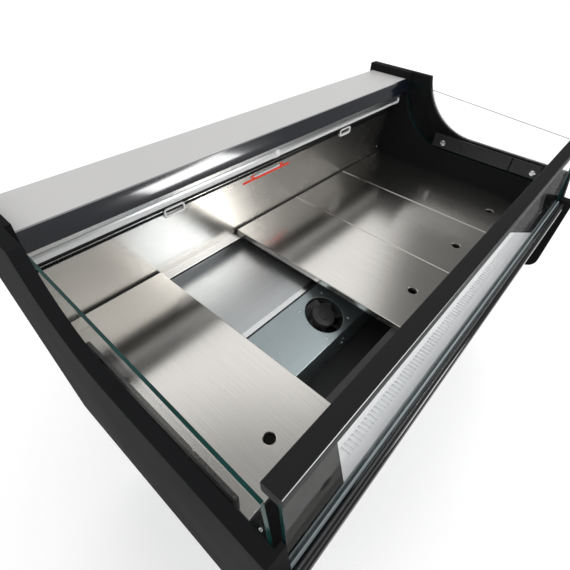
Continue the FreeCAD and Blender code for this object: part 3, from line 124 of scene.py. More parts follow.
# Grained finishes: name, colour, metallic and roughness, then the scale and depth of the grain, and
# how much the colour and the roughness vary
GRAINED = {
    # The collars' dark steel colour is painted shade: it stands for the dark inside of the finger holes
    "hole_collar": ("hole_collar", (0.22, 0.21, 0.20), 1.0, 0.42, 900.0, 2e-6, 0.10, 0.05),
    "bright_screws": ("bright_screws", (0.82, 0.83, 0.84), 1.0, 0.2, 1500.0, 2e-6, 0.06, 0.05),
    "graphite_paint": (
        "graphite_powder_coat", (0.045, 0.047, 0.05), 0.0, 0.5, 1400.0, 2.5e-5, 0.06, 0.05),
    "black_liner": ("black_liner", (0.036, 0.036, 0.0365), 0.0, 0.5, 1200.0, 1.5e-5, 0.15, 0.06),
    "foam": ("insulating_foam", (0.72, 0.62, 0.38), 0.0, 0.9, 500.0, 2e-4, 0.12, 0.05),
    "black_outlet": ("black_air_outlet", (0.012, 0.012, 0.0125), 0.0, 0.42, 1600.0, 8e-6, 0.1, 0.05),
    "white_plastic": ("white_plastic", (0.91, 0.92, 0.93), 0.0, 0.38, 900.0, 8e-6, 0.02, 0.05),
    "clip_white": ("clip_white", (0.93, 0.935, 0.94), 0.0, 0.42, 900.0, 4e-6, 0.02, 0.05),
    "black_abs": (
        "grained_black_abs", (0.011, 0.0112, 0.0120), 0.0, 0.62, 1700.0, 3.5e-5, 0.14, 0.07),
    "black_gloss": ("gloss_black_profile", (0.008, 0.008, 0.009), 0.0, 0.13, 700.0, 2e-7, 0.15, 0.03),
    "fascia": ("fascia_blue_black", (0.004, 0.0055, 0.010), 0.0, 0.19, 900.0, 2e-7, 0.15, 0.04),
    "black_rail": ("matt_black_rail", (0.008, 0.008, 0.0083), 0.0, 0.5, 1800.0, 1.6e-5, 0.1, 0.05),
    "hinge_bar_grey": ("hinge_bar_grey", (0.24, 0.28, 0.29), 0.4, 0.5, 1200.0, 4e-6, 0.06, 0.05),
    "black_clamp": ("black_clamp", (0.013, 0.0135, 0.0145), 0.0, 0.34, 1500.0, 1.2e-5, 0.12, 0.06),
    "satin_worktop": ("satin_worktop", (0.53, 0.525, 0.52), 0.0, 0.42, 1100.0, 1.2e-5, 0.02, 0.05),
    "lamp_cover": ("lamp_cover_clear", (0.78, 0.79, 0.795), 0.0, 0.26, 300.0, 3e-7, 0.03, 0.04),
    "compressor_paint": ("compressor_paint", (0.011, 0.011, 0.012), 0.0, 0.33, 400.0, 3e-5, 0.12, 0.06),
    "fan_black": ("fan_black", (0.040, 0.040, 0.0405), 0.0, 0.33, 1500.0, 8e-6, 0.12, 0.06),
    "control_grey": ("control_plate_grey", (0.08, 0.083, 0.088), 0.0, 0.45, 1500.0, 1.5e-5, 0.06, 0.05),
    "button_rubber": ("button_rubber", (0.30, 0.31, 0.32), 0.0, 0.6, 1600.0, 2e-5, 0.05, 0.05),
    "switch_plastic": ("switch_plastic", (0.016, 0.016, 0.017), 0.0, 0.35, 1500.0, 1e-5, 0.08, 0.05),
    "load_line_red": ("load_line_red", (0.88, 0.06, 0.028), 0.0, 0.5, 900.0, 4e-6, 0.05, 0.05),
    "load_line_pale": ("load_line_pale", (0.62, 0.66, 0.72), 0.0, 0.35, 900.0, 4e-6, 0.03, 0.05),
    # Black for the strips at the panels' rear edges, the fan plate's rear edge and the rear rail's
    # front edge: painted shade for those gaps
    "seal_black": ("seal_black", (0.006, 0.006, 0.0065), 0.0, 0.6, 1200.0, 2e-5, 0.1, 0.05),
    "display_dark": ("display_dark", (0.006, 0.007, 0.009), 0.0, 0.1, 600.0, 1e-6, 0.1, 0.03),
}

# Gloss of the grained finishes that don't keep the shader's own
GLOSS = {
    "black_liner": {"Specular IOR Level": 0.3},
    "black_abs": {"Specular IOR Level": 0.02},
    "black_gloss": {"Coat Weight": 0.6, "Coat Roughness": 0.06},
    "fascia": {"Coat Weight": 1.0, "Coat Roughness": 0.10, "Coat IOR": 2.0, "Specular IOR Level": 0.5},
    "black_rail": {"Specular IOR Level": 0.2},
    "lamp_cover": {"Coat Weight": 0.3, "Coat Roughness": 0.10},
    "load_line_red": {"Specular IOR Level": 0.15},
    "display_dark": {"Coat Weight": 0.5, "Coat Roughness": 0.05},
}

# Panes: how much of each is glass; the rest is clear, so that it doesn't mirror the floor
PANES = {"clear_glass": 0.18, "front_pane": 0.06}
PANE_COLOUR = (0.95, 0.98, 0.972)
PANE_IOR = 1.45


class Finish:
    """A procedural material: a Principled shader with a few ways to vary it."""

    def __init__(self, name, colour, metallic, roughness):
        self.material = bpy.data.materials.new(name)
        self.material.use_nodes = True
        self.tree = self.material.node_tree
        self.shader = self.tree.nodes["Principled BSDF"]
        self.colour = colour
        self.roughness = roughness
        self.set({"Base Color": (*colour, 1), "Metallic": metallic, "Roughness": roughness})
        self.place = self.add("ShaderNodeTexCoord").outputs["Object"]

    def add(self, kind, **settings):
        node = self.tree.nodes.new(kind)
        for key, value in settings.items():
            setattr(node, key, value)
        return node

    def join(self, source, target):
        self.tree.links.new(source, target)

    def set(self, values):
        for key, value in values.items():
            self.shader.inputs[key].default_value = value

    def noise(self, scale, detail=2.0, stretch=(1, 1, 1)):
        """Noise over the piece; a stretch below 1 draws it out along that axis."""
        mapping = self.add("ShaderNodeMapping")
        mapping.inputs["Scale"].default_value = stretch
        self.join(self.place, mapping.inputs["Vector"])
        texture = self.add("ShaderNodeTexNoise")
        texture.inputs["Scale"].default_value = scale
        texture.inputs["Detail"].default_value = detail
        self.join(mapping.outputs["Vector"], texture.inputs["Vector"])
        return texture.outputs["Fac"]

    def spangle(self, scale):
        """The cells of a zinc coating."""
        texture = self.add("ShaderNodeTexVoronoi")
        texture.inputs["Scale"].default_value = scale
        self.join(self.place, texture.inputs["Vector"])
        return texture.outputs["Distance"]

    def waves(self, scale):
        """Fins that follow each other along X."""
        texture = self.add("ShaderNodeTexWave", bands_direction="X")
        texture.inputs["Scale"].default_value = scale
        self.join(self.place, texture.inputs["Vector"])
        return texture.outputs["Fac"]

    def spread(self, source, low, high):
        """Map the middle part of a pattern onto low to high."""
        node = self.add("ShaderNodeMapRange")
        node.inputs["From Min"].default_value = NOISE_LOW
        node.inputs["From Max"].default_value = NOISE_HIGH
        node.inputs["To Min"].default_value = low
        node.inputs["To Max"].default_value = high
        self.join(source, node.inputs["Value"])
        return node.outputs["Result"]

    def vary_roughness(self, source, amount):
        result = self.spread(source, self.roughness - amount, self.roughness + amount)
        self.join(result, self.shader.inputs["Roughness"])

    def vary_colour(self, source, amount):
        """Lighter and darker by the given share of the colour."""
        mix = self.add("ShaderNodeMix", data_type="RGBA")
        mix.inputs["A"].default_value = (*[c * (1 - amount) for c in self.colour], 1)
        mix.inputs["B"].default_value = (*[min(c * (1 + amount), 1) for c in self.colour], 1)
        self.join(self.spread(source, 0.0, 1.0), mix.inputs["Factor"])
        self.join(mix.outputs["Result"], self.shader.inputs["Base Color"])

    def relief(self, source, depth, strength):
        bump = self.add("ShaderNodeBump")
        bump.inputs["Strength"].default_value = strength
        bump.inputs["Distance"].default_value = depth
        self.join(source, bump.inputs["Height"])
        self.join(bump.outputs["Normal"], self.shader.inputs["Normal"])

    def brushed(self, along, grip, lift, streak):
        """Fine drawn lines along one direction, with highlights that spread across them."""
        stretch = tuple(BRUSH_STRETCH if share == 1.0 else 1.0 for share in along)
        lines = self.noise(streak, BRUSH_DETAIL, stretch)
        self.vary_colour(lines, lift)
        self.vary_roughness(self.noise(BRUSH_CLOUD), BRUSH_GLOSS)
        self.relief(lines, BRUSH_DEPTH, BRUSH_STRENGTH)
        self.set({"Anisotropic": grip, "Anisotropic Rotation": BRUSH_TURN})
        tangent = self.add("ShaderNodeCombineXYZ")
        for socket, value in zip(tangent.inputs, along):
            socket.default_value = value
        self.join(tangent.outputs["Vector"], self.shader.inputs["Tangent"])
        return self

    def grained(self, scale, depth, lift, rough):
        """Fine moulded or powder-coated grain, with broad uneven gloss and handling marks."""
        broad = self.noise(GRAIN_CLOUD, GRAIN_CLOUD_DETAIL)
        self.vary_colour(broad, lift)
        self.vary_roughness(broad, rough)
        self.relief(self.noise(scale, GRAIN_DETAIL), depth, GRAIN_STRENGTH)
        return self


def make_finishes():
    made = {}
    for key, (name, colour, roughness, *lines) in BRUSHED.items():
        made[key] = Finish(name, colour, 1.0, roughness).brushed(*lines)
    for key, (name, colour, metallic, roughness, *grain) in GRAINED.items():
        made[key] = Finish(name, colour, metallic, roughness).grained(*grain)
    for key, values in GLOSS.items():
        made[key].set(values)

    zinc = Finish("zinc_fan_plate", (0.60, 0.69, 0.71), 1.0, 0.44)
    zinc.vary_colour(zinc.spangle(420.0), 0.05)
    zinc.vary_roughness(zinc.noise(60.0, 3.0), 0.07)
    zinc.relief(zinc.noise(900.0), 3e-6, 0.4)
    made["fan_plate_steel"] = zinc

    coil = Finish("coil_fins", (0.72, 0.73, 0.74), 1.0, 0.4)
    fins = coil.waves(160.0)
    coil.vary_colour(fins, 0.45)
    coil.relief(fins, 4e-4, 0.8)
    made["coil_aluminium"] = coil

    for key, share in PANES.items():
        pane = Finish(key, PANE_COLOUR, 0.0, 0.0)
        pane.vary_colour(pane.noise(5.0, 3.0), 0.02)
        pane.set({"Transmission Weight": 1.0, "IOR": PANE_IOR, "Alpha": share})
        made[key] = pane

    edge = Finish("glass_edge_green", (0.004, 0.034, 0.031), 0.0, 0.2)
    edge.vary_colour(edge.noise(40.0, 2.0, (0.2, 0.2, 1)), 0.35)
    edge.set({"Specular IOR Level": 0.25})
    made["glass_edge"] = edge
    return {key: finish.material for key, finish in made.items()}


# Mesh helpers

# Edges that bend more than this, in degrees, stay sharp: for most pieces, and for crisp ones
SMOOTH_ANGLE = 35.0
CRISP_ANGLE = 30.0
MERGE_DISTANCE = 1e-7
# Points closer than this belong to one solid of a CAD node
ISLAND_DISTANCE = 1e-6


def to_mesh(name, bm, smooth_angle=SMOOTH_ANGLE):
    bmesh.ops.remove_doubles(bm, verts=bm.verts, dist=MERGE_DISTANCE)
    bmesh.ops.recalc_face_normals(bm, faces=bm.faces)
    for face in bm.faces:
        face.smooth = True
    for edge in bm.edges:
        if len(edge.link_faces) == 2 and edge.calc_face_angle(0) > math.radians(smooth_angle):
            edge.smooth = False
    mesh = bpy.data.meshes.new(name)
    bm.to_mesh(mesh)
    bm.free()
    return mesh


def piece(name, bm, body, finish, replaced=(), smooth_angle=SMOOTH_ANGLE):
    mesh = to_mesh(name, bm, smooth_angle)
    item = bpy.data.objects.new(name, mesh)
    SCENE.collection.objects.link(item)
    mesh.materials.append(FINISH[finish])
    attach(item, body)
    if replaced:
        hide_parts(*replaced)


def axes_from(axis):
    """A frame whose third axis is the given direction."""
    third = Vector(axis).normalized()
    first = Vector((1, 0, 0)) if abs(third.x) < FACING else Vector((0, 1, 0))
    second = third.cross(first).normalized()
    first = second.cross(third).normalized()
    return Matrix((first, second, third)).transposed()


def lathe(bm, centre, axis, profile, steps):
    """Turn (radius, height) points round an axis; points at radius 0 close the form."""
    basis = axes_from(axis)
    rings = []
    for radius, height in profile:
        if radius == 0:
            rings.append([bm.verts.new(Vector(centre) + basis @ Vector((0, 0, height)))])
            continue
        ring = []
        for i in range(steps):
            turn = math.tau * i / steps
            local = Vector((radius * math.cos(turn), radius * math.sin(turn), height))
            ring.append(bm.verts.new(Vector(centre) + basis @ local))
        rings.append(ring)
    for low, high in zip(rings, rings[1:]):
        for i in range(steps):
            j = (i + 1) % steps
            corners = [low[i % len(low)], low[j % len(low)],
                       high[j % len(high)], high[i % len(high)]]
            distinct = list(dict.fromkeys(corners))
            if len(distinct) > 2:
                bm.faces.new(distinct)


def bridge(bm, low, high):
    """Faces between two closed rows of points."""
    for i in range(len(low)):
        j = (i + 1) % len(low)
        bm.faces.new((low[i], low[j], high[j], high[i]))


def extrude_profile(bm, points, x_low, x_high):
    """A solid with a (y, z) outline, run along X."""
    low, high = [[bm.verts.new((x, y, z)) for y, z in points] for x in (x_low, x_high)]
    bridge(bm, low, high)
    bm.faces.new(low)
    bm.faces.new(list(reversed(high)))


def strip(name, outline, x_low, x_high, body, slot, finish, smooth_angle=SMOOTH_ANGLE):
    """A piece with one outline along X."""
    bm = bmesh.new()
    extrude_profile(bm, outline, x_low, x_high)
    piece(name, bm, body, finish, (), smooth_angle)


def wire_loop(bm, path, radius, sides=12):
    """A round wire along a closed path of points."""
    rings = []
    for i, point in enumerate(path):
        basis = axes_from(path[(i + 1) % len(path)] - path[i - 1])
        ring = []
        for k in range(sides):
            turn = math.tau * k / sides
            local = Vector((radius * math.cos(turn), radius * math.sin(turn), 0))
            ring.append(bm.verts.new(point + basis @ local))
        rings.append(ring)
    for low, high in zip(rings, rings[1:] + rings[:1]):
        bridge(bm, low, high)


def rounded_loop(centre, half_width, half_height, corner, steps=6):
    """Points round a rectangle with rounded corners, upright in X and Z."""
    points = []
    for sx, sz, start in ((1, 1, 0), (-1, 1, 90), (-1, -1, 180), (1, -1, 270)):
        middle = Vector((sx * (half_width - corner), 0, sz * (half_height - corner)))
        for i in range(steps + 1):
            turn = math.radians(start + 90 * i / steps)
            points.append(centre + middle + corner * Vector((math.cos(turn), 0, math.sin(turn))))
    return points


def islands(node):
    """The box of each separate solid in a CAD node."""
    bm = bmesh.new()
    bm.from_mesh(node.data)
    bmesh.ops.remove_doubles(bm, verts=bm.verts, dist=ISLAND_DISTANCE)
    left = set(bm.verts)
    found = []
    while left:
        group = [left.pop()]
        for vert in group:
            for edge in vert.link_edges:
                other = edge.other_vert(vert)
                if other in left:
                    left.discard(other)
                    group.append(other)
        low = Vector([min(v.co[i] for v in group) for i in range(3)])
        high = Vector([max(v.co[i] for v in group) for i in range(3)])
        found.append((low, high))
    bm.free()
    return sorted(found, key=lambda box: tuple(box[0]))


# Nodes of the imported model

# Width of the rounded edges, in millimetres
EDGE_ROUNDING = {
    "worktop": 1.2, "left_end_panel": 1.5, "right_end_panel": 1.5, "front_glass_top_rail": 0.8,
    "deck_panel_1": 1.1, "deck_panel_3": 1.1, "deck_panel_4": 1.1, "deck_panel_5": 1.1,
    "rear_deck_rail": 0.4, "front_deck_rail": 0.5, "cover_trim": 0.6, "fan_plate": 1.2,
    "front_profile": 0.5, "base_front_panel": 0.8, "base_side_panels": 0.8, "tank_casing": 0.8,
    "rear_riser": 0.8, "lamp_rail": 0.4, "lamp_holders": 0.8, "return_air_grille": 0.4,
    "grille_end_blanks": 0.5, "end_glass_clamps": 1.0, "rear_louvre_panel": 0.4,
    "control_plate": 1.0, "fan_housing_1": 0.6, "fan_housing_2": 0.6, "fan_housing_3": 0.6,
    "fan_housing_4": 0.6, "button_set": 0.6, "button_down": 0.6, "button_up": 0.6,
    "light_switch_rocker": 0.6, "left_end_glass": 0.5, "right_end_glass": 0.5,
    "front_glass": 0.5, "compressor": 1.5, "condenser_fan_frame": 0.8,
}
EDGE_STEPS = 2
EDGE_ANGLE = math.radians(38)
WELD_DISTANCE = 1e-6
FLAT_WEIGHT = 100
# Nodes with curved faces, which are shaded smooth
ROUNDED_NODES = {
    "left_end_panel", "right_end_panel", "front_glass_top_rail", "front_profile", "lamp_holders",
    "fan_housing_1", "fan_housing_2", "fan_housing_3", "fan_housing_4", "button_set",
    "button_down", "button_up", "light_switch_rocker", "compressor", "condenser_fan_frame",
}
# Nodes that don't take the finish of their material slot
OWN_FINISH = {
    "rear_wall_panel": "stainless_wall", "rear_deck_rail": "deck_rail_satin",
    "lamp_rail": "lamp_rail_satin", "front_glass": "front_pane",
}
GLASS_NODES = ("front_glass", "left_end_glass", "right_end_glass")
# Faces of the control plate that lie deeper than this are the floor of its display
DISPLAY_STEP = 0.0002


def soften(node, width):
    """Rounded edges that catch the light; the mesh itself stays as the CAD made it."""
    mesh = node.data
    rounded = node.name in ROUNDED_NODES
    mesh.normals_split_custom_set([(0.0, 0.0, 0.0)] * len(mesh.loops))
    for polygon in mesh.polygons:
        polygon.use_smooth = rounded
    weld = node.modifiers.new("weld", "WELD")
    weld.merge_threshold = WELD_DISTANCE
    bevel = node.modifiers.new("bevel", "BEVEL")
    bevel.width = width * MM
    bevel.segments = EDGE_STEPS
    bevel.limit_method = "ANGLE"
    bevel.angle_limit = EDGE_ANGLE
    if rounded:
        flatten = node.modifiers.new("flatten", "WEIGHTED_NORMAL")
        flatten.weight = FLAT_WEIGHT


def refinish_faces(name, finish, chosen):
    """Give a second finish to the chosen faces of a node."""
    mesh = NODES[name].data
    mesh.materials.append(FINISH[finish])
    for polygon in mesh.polygons:
        if chosen(polygon):
            polygon.material_index = 1


def dress_cad_nodes():
    for sub in frame["record"]["subparts"]:
        node = NODES[sub["node"]]
        key = OWN_FINISH.get(sub["node"], sub["material_slot"])
        node.data.materials.clear()
        node.data.materials.append(FINISH[key])
        if sub["node"] in EDGE_ROUNDING:
            soften(node, EDGE_ROUNDING[sub["node"]])
    for name in GLASS_NODES:
        node = NODES[name]
        widest = max(node.data.polygons, key=lambda polygon: polygon.area).normal.copy()
        refinish_faces(name, "glass_edge", lambda face: abs(face.normal.dot(widest)) <= FACING)
        node.visible_shadow = False
    refinish_faces("tank_insulation", "graphite_paint", lambda face: abs(face.normal.x) > FACING)
    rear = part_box("control_plate")[1][1]
    refinish_faces("control_plate", "display_dark",
                   lambda face: face.normal.y > FACING and face.center.y < rear - DISPLAY_STEP)


# Fittings

# Evaporator fans: direction of the axis, and a point on each
FAN_AXIS = Vector((0, -0.298644, 0.954360))
FAN_X = (-0.540, -0.180, 0.180, 0.540)
FAN_Y = -0.0695
FAN_Z = 0.57297

# Rotor: radius of the hub and the tips, and heights along the axis
FAN_BLADES = 7
FAN_HUB = 0.0335
FAN_TIP = 0.0551
FAN_TOP = -0.0030
HUB_FOOT = -0.0360
HUB_STEPS = 56
GROOVE_FLOOR = FAN_TOP - 0.0016
DIMPLE_FLOOR = FAN_TOP - 0.0012
HUB_PROFILE = (
    (0, HUB_FOOT), (FAN_HUB - 0.002, HUB_FOOT), (FAN_HUB, HUB_FOOT + 0.002),
    (FAN_HUB, FAN_TOP - 0.002), (FAN_HUB - 0.0006, FAN_TOP - 0.0006), (FAN_HUB - 0.002, FAN_TOP),
    (0.0160, FAN_TOP), (0.0154, GROOVE_FLOOR), (0.0128, GROOVE_FLOOR), (0.0122, FAN_TOP),
    (0.0050, FAN_TOP), (0.0044, DIMPLE_FLOOR), (0, DIMPLE_FLOOR),
)

# Blade: grid of points, thickness, chord at the root and its loss to the tip in degrees, sweep, and
# the fall and bow of the chord
BLADE_ROWS = 6
BLADE_COLUMNS = 7
BLADE_THICK = 0.0014
BLADE_ROOT = FAN_HUB - 0.001
BLADE_CHORD = 41
BLADE_TAPER = 4
BLADE_SWEEP = math.radians(13)
BLADE_START = FAN_TOP - 0.003
BLADE_FALL = 0.026
BLADE_BOW = 0.003
BLADE_RIM = (
    [(0, column) for column in range(BLADE_COLUMNS)]
    + [(row, BLADE_COLUMNS) for row in range(BLADE_ROWS)]
    + [(BLADE_ROWS, column) for column in range(BLADE_COLUMNS, 0, -1)]
    + [(row, 0) for row in range(BLADE_ROWS, 0, -1)]
)


def blade_skin(bm, centre, start, offset):
    """One side of a blade: rows from hub to tip, columns along the chord."""
    basis = axes_from(FAN_AXIS)
    grid = []
    for row in range(BLADE_ROWS + 1):
        share = row / BLADE_ROWS
        radius = BLADE_ROOT + (FAN_TIP - BLADE_ROOT) * share
        chord = math.radians(BLADE_CHORD - BLADE_TAPER * share)
        line = []
        for column in range(BLADE_COLUMNS + 1):
            along = column / BLADE_COLUMNS
            turn = start + BLADE_SWEEP * share + chord * along
            height = BLADE_START - BLADE_FALL * along - BLADE_BOW * math.sin(math.pi * along)
            local = Vector((radius * math.cos(turn), radius * math.sin(turn), height + offset))
            line.append(bm.verts.new(centre + basis @ local))
        grid.append(line)
    return grid


def impeller(index, x):
    """Moulded rotor: hub with a ring groove, and swept blades that twist to the tip."""
    bm = bmesh.new()
    centre = Vector((x, FAN_Y, FAN_Z))
    lathe(bm, centre, FAN_AXIS, HUB_PROFILE, HUB_STEPS)
    for blade in range(FAN_BLADES):
        start = math.tau * blade / FAN_BLADES
        low = blade_skin(bm, centre, start, -BLADE_THICK / 2)
        top = blade_skin(bm, centre, start, BLADE_THICK / 2)
        for r in range(BLADE_ROWS):
            for c in range(BLADE_COLUMNS):
                bm.faces.new((top[r][c], top[r + 1][c], top[r + 1][c + 1], top[r][c + 1]))
                bm.faces.new((low[r][c], low[r][c + 1], low[r + 1][c + 1], low[r + 1][c]))
        bridge(bm, [top[r][c] for r, c in BLADE_RIM], [low[r][c] for r, c in BLADE_RIM])
    piece(f"rotor_{index}", bm, f"fan_{index}", "fan_black", (f"fan_impeller_{index}",))


# Screw head: (radius, height) of its dome and the size of its cross recess, as shares of the head
HEAD_STEPS = 32
HEAD_DOME = ((1.0, 0.0), (1.0, 0.25), (0.93, 0.55), (0.78, 0.82), (0.58, 0.95), (0.5, 1.0))
CROSS_ARM = 0.46
CROSS_HALF = 0.13
CROSS_FLOOR = 0.35
CROSS_TAPER = 0.8
# Height of the heads of each CAD node
HEAD_RISE = {"fan_screws": 0.0015, "end_glass_screws": 0.0020, "panel_screws": 0.0015}


def screw_head(bm, seat, axis, radius, rise):
    """Domed head with a cross recess, seated on a face."""
    dome = [(radius * wide, rise * high) for wide, high in HEAD_DOME]
    lathe(bm, seat, axis, [(0, 0)] + dome, HEAD_STEPS)
    basis = axes_from(axis)

    def row(points, height):
        return [bm.verts.new(seat + basis @ Vector((u, v, height))) for u, v in points]

    def closed_edges(verts):
        return [bm.edges.new(pair) for pair in zip(verts, verts[1:] + verts[:1])]

    arm = radius * CROSS_ARM
    half = radius * CROSS_HALF
    outline = [(half, half), (half, arm), (-half, arm), (-half, half), (-arm, half), (-arm, -half),
               (-half, -half), (-half, -arm), (half, -arm), (half, -half), (arm, -half), (arm, half)]
    rim_radius = dome[-1][0]
    turns = [math.tau * i / HEAD_STEPS for i in range(HEAD_STEPS)]
    ring = row([(rim_radius * math.cos(turn), rim_radius * math.sin(turn)) for turn in turns], rise)
    cross = row(outline, rise)
    edges = closed_edges(ring) + closed_edges(cross)
    bmesh.ops.triangle_fill(bm, use_beauty=True, edges=edges)
    floor = row([(u * CROSS_TAPER, v * CROSS_TAPER) for u, v in outline], rise * CROSS_FLOOR)
    bridge(bm, cross, floor)
    bm.faces.new(floor)


def screws(name, node_name, direction):
    """Screws where the CAD node has its plain heads."""
    bm = bmesh.new()
    rise = HEAD_RISE[node_name]
    for low, high in islands(NODES[node_name]):
        middle = (low + high) / 2
        axis = direction(middle)
        size = high - low
        radius = (size.z if abs(axis.x) > FACING else size.x) / 2
        screw_head(bm, middle - axis * rise / 2, axis, radius, rise)
    piece(name, bm, "cabinet", "bright_screws", (node_name,), CRISP_ANGLE)


def panel_screw_axis(place):
    return Vector((0, -1, 0)) if place.y > 0 else Vector((0, 0, 1))


def end_screw_axis(place):
    return Vector((-1, 0, 0)) if place.x > 0 else Vector((1, 0, 0))


def make_screws():
    screws("fan_screw_heads", "fan_screws", lambda place: FAN_AXIS)
    screws("end_glass_screw_heads", "end_glass_screws", end_screw_axis)
    screws("panel_screw_heads", "panel_screws", panel_screw_axis)


CLIP_WIRE = 0.0030
CLIP_CORNER = 0.0055


def make_clips():
    """White wire loops hooked over the outlet grid."""
    bm = bmesh.new()
    for low, high in islands(NODES["outlet_clips"]):
        middle = (low + high) / 2
        middle.y = high.y - CLIP_WIRE
        half_width = (high.x - low.x) / 2 - CLIP_WIRE
        half_height = (high.z - low.z) / 2 - CLIP_WIRE
        wire_loop(bm, rounded_loop(middle, half_width, half_height, CLIP_CORNER), CLIP_WIRE)
    piece("outlet_wire_clips", bm, "cabinet", "clip_white", ("outlet_clips",))


# Deck panels by number, and their finger holes
PANEL_X = {1: -0.5768, 3: 0.0, 4: 0.2884, 5: 0.5768}
DECK_TOP = 0.650
HOLE_Y = -0.2275
HOLE_RADIUS = 0.0135
# Collar of a hole: how far each point lies inside the hole's edge, and its height over the deck
COLLAR = (
    (0.0001, 0.0), (0.0008, -0.0004), (0.0016, -0.0016), (0.0020, -0.0035), (0.0020, -0.0105),
    (0.0010, -0.0110), (0.0001, -0.0105), (0.0001, 0.0),
)
COLLAR_STEPS = 56


def make_collars():
    """The turned-down collar of each panel's finger hole, in a dark steel that paints the shade of the
    hole.
    """
    profile = [(HOLE_RADIUS - inset, height) for inset, height in COLLAR]
    for number, x in PANEL_X.items():
        bm = bmesh.new()
        lathe(bm, (x, HOLE_Y, DECK_TOP), (0, 0, 1), profile, COLLAR_STEPS)
        piece(f"finger_hole_collar_{number}", bm, f"panel_{number}", "hole_collar")


# Black strip behind a panel, painted shade for the gap to the wall: depth, heights, the rise of its
# foot, the chamfer of its crown and its end room
SHADE_STRIP_DEEP = 0.0066
SHADE_STRIP_LOW = 0.6345
SHADE_STRIP_HIGH = 0.6478
SHADE_STRIP_FOOT = 0.0015
SHADE_STRIP_CHAMFER = 0.0010
SHADE_STRIP_ROOM = 0.0005


def make_panel_shade_strips():
    """Black strip on the rear edge of each panel: painted shade that makes the gap to the wall read
    black.
    """
    for number in PANEL_X:
        low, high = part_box(f"deck_panel_{number}")
        edge = high[1]
        rear = edge + SHADE_STRIP_DEEP
        outline = [(edge, SHADE_STRIP_LOW), (rear, SHADE_STRIP_LOW + SHADE_STRIP_FOOT),
                   (rear, SHADE_STRIP_HIGH - SHADE_STRIP_CHAMFER), (rear - SHADE_STRIP_CHAMFER, SHADE_STRIP_HIGH),
                   (edge, SHADE_STRIP_HIGH)]
        strip(f"panel_shade_strip_{number}", outline, low[0] + SHADE_STRIP_ROOM, high[0] - SHADE_STRIP_ROOM,
              f"panel_{number}", "black_liner", "seal_black")


# Front face of the rear wall, and what lies on it: bars of the air outlet by their heights, then the
# load line with its arrows and the pale line, by places along X and heights over the line's middle
WALL_FACE = 0.3275
OUTLET_BARS = ((0.8208, 0.8226), (0.8108, 0.8120))
BAR_THICK = 0.0006
MARK_Z = 0.7915
MARK_HALF = 0.0036
MARK_THICK = 0.0003
MARK_ENDS = (-0.106, 0.105)
ARROW_X = (-0.064, 0.066)
ARROW_HALF = 0.0085
ARROW_TOP = 0.0135
ARROW_TIP = 0.0005
ARROW_THICK = 0.00039
PALE_ENDS = (-0.056, 0.058)
PALE_LOW = 0.0046
PALE_HIGH = 0.0096


def on_wall(z_low, z_high, thick):
    """Outline of a flat strip on the rear wall."""
    front = WALL_FACE - thick
    return [(WALL_FACE, z_low), (front, z_low), (front, z_high), (WALL_FACE, z_high)]


def make_outlet_bars():
    """Bright bar between the teeth and the slot of the air outlet, and one under the teeth."""
    bm = bmesh.new()
    half_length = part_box("air_outlet_grid")[1][0] - BAR_THICK
    for low, high in OUTLET_BARS:
        extrude_profile(bm, on_wall(low, high, BAR_THICK), -half_length, half_length)
    piece("outlet_bars", bm, "cabinet", "bright_aluminium")


def make_load_line():
    """The fill limit: a red line with two small arrows, and a pale line above it."""
    bm = bmesh.new()
    extrude_profile(bm, on_wall(MARK_Z - MARK_HALF, MARK_Z + MARK_HALF, MARK_THICK), *MARK_ENDS)
    for x in ARROW_X:
        corners = [(x - ARROW_HALF, MARK_Z + ARROW_TOP), (x + ARROW_HALF, MARK_Z + ARROW_TOP),
                   (x, MARK_Z + ARROW_TIP)]
        near = [bm.verts.new((u, WALL_FACE - ARROW_THICK, v)) for u, v in corners]
        far = [bm.verts.new((u, WALL_FACE, v)) for u, v in corners]
        bm.faces.new(near)
        bm.faces.new(list(reversed(far)))
        bridge(bm, near, far)
    piece("load_line", bm, "cabinet", "load_line_red")
    strip("load_line_upper", on_wall(MARK_Z + PALE_LOW, MARK_Z + PALE_HIGH, MARK_THICK), *PALE_ENDS,
          "cabinet", "white_plastic", "load_line_pale")


# Lamp tubes: axis, radius, wall, ends, and the arcs of the back and the cover in degrees
LAMP_Y = 0.2995
LAMP_Z = 0.868
LAMP_RADIUS = 0.014
LAMP_WALL = 0.0016
LAMP_ENDS = ((-0.713, -0.008), (0.008, 0.713))
BACK_ARC = (38, 172)
BACK_STEPS = 22
COVER_ARC = (172, 398)
COVER_INSET = 0.0001
COVER_RIBS = 26
RIB_DEPTH = 0.0004
# LED board inside: its outline from the tube's axis, and the room at its ends
BOARD = ((-0.0110, 0.0024), (0.0095, 0.0066), (0.0091, 0.0080), (-0.0114, 0.0038))
BOARD_ROOM = 0.002


def arc_points(radius, start, stop, steps):
    points = []
    for i in range(steps + 1):
        turn = math.radians(start + (stop - start) * i / steps)
        points.append((LAMP_Y + radius * math.cos(turn), LAMP_Z + radius * math.sin(turn)))
    return points


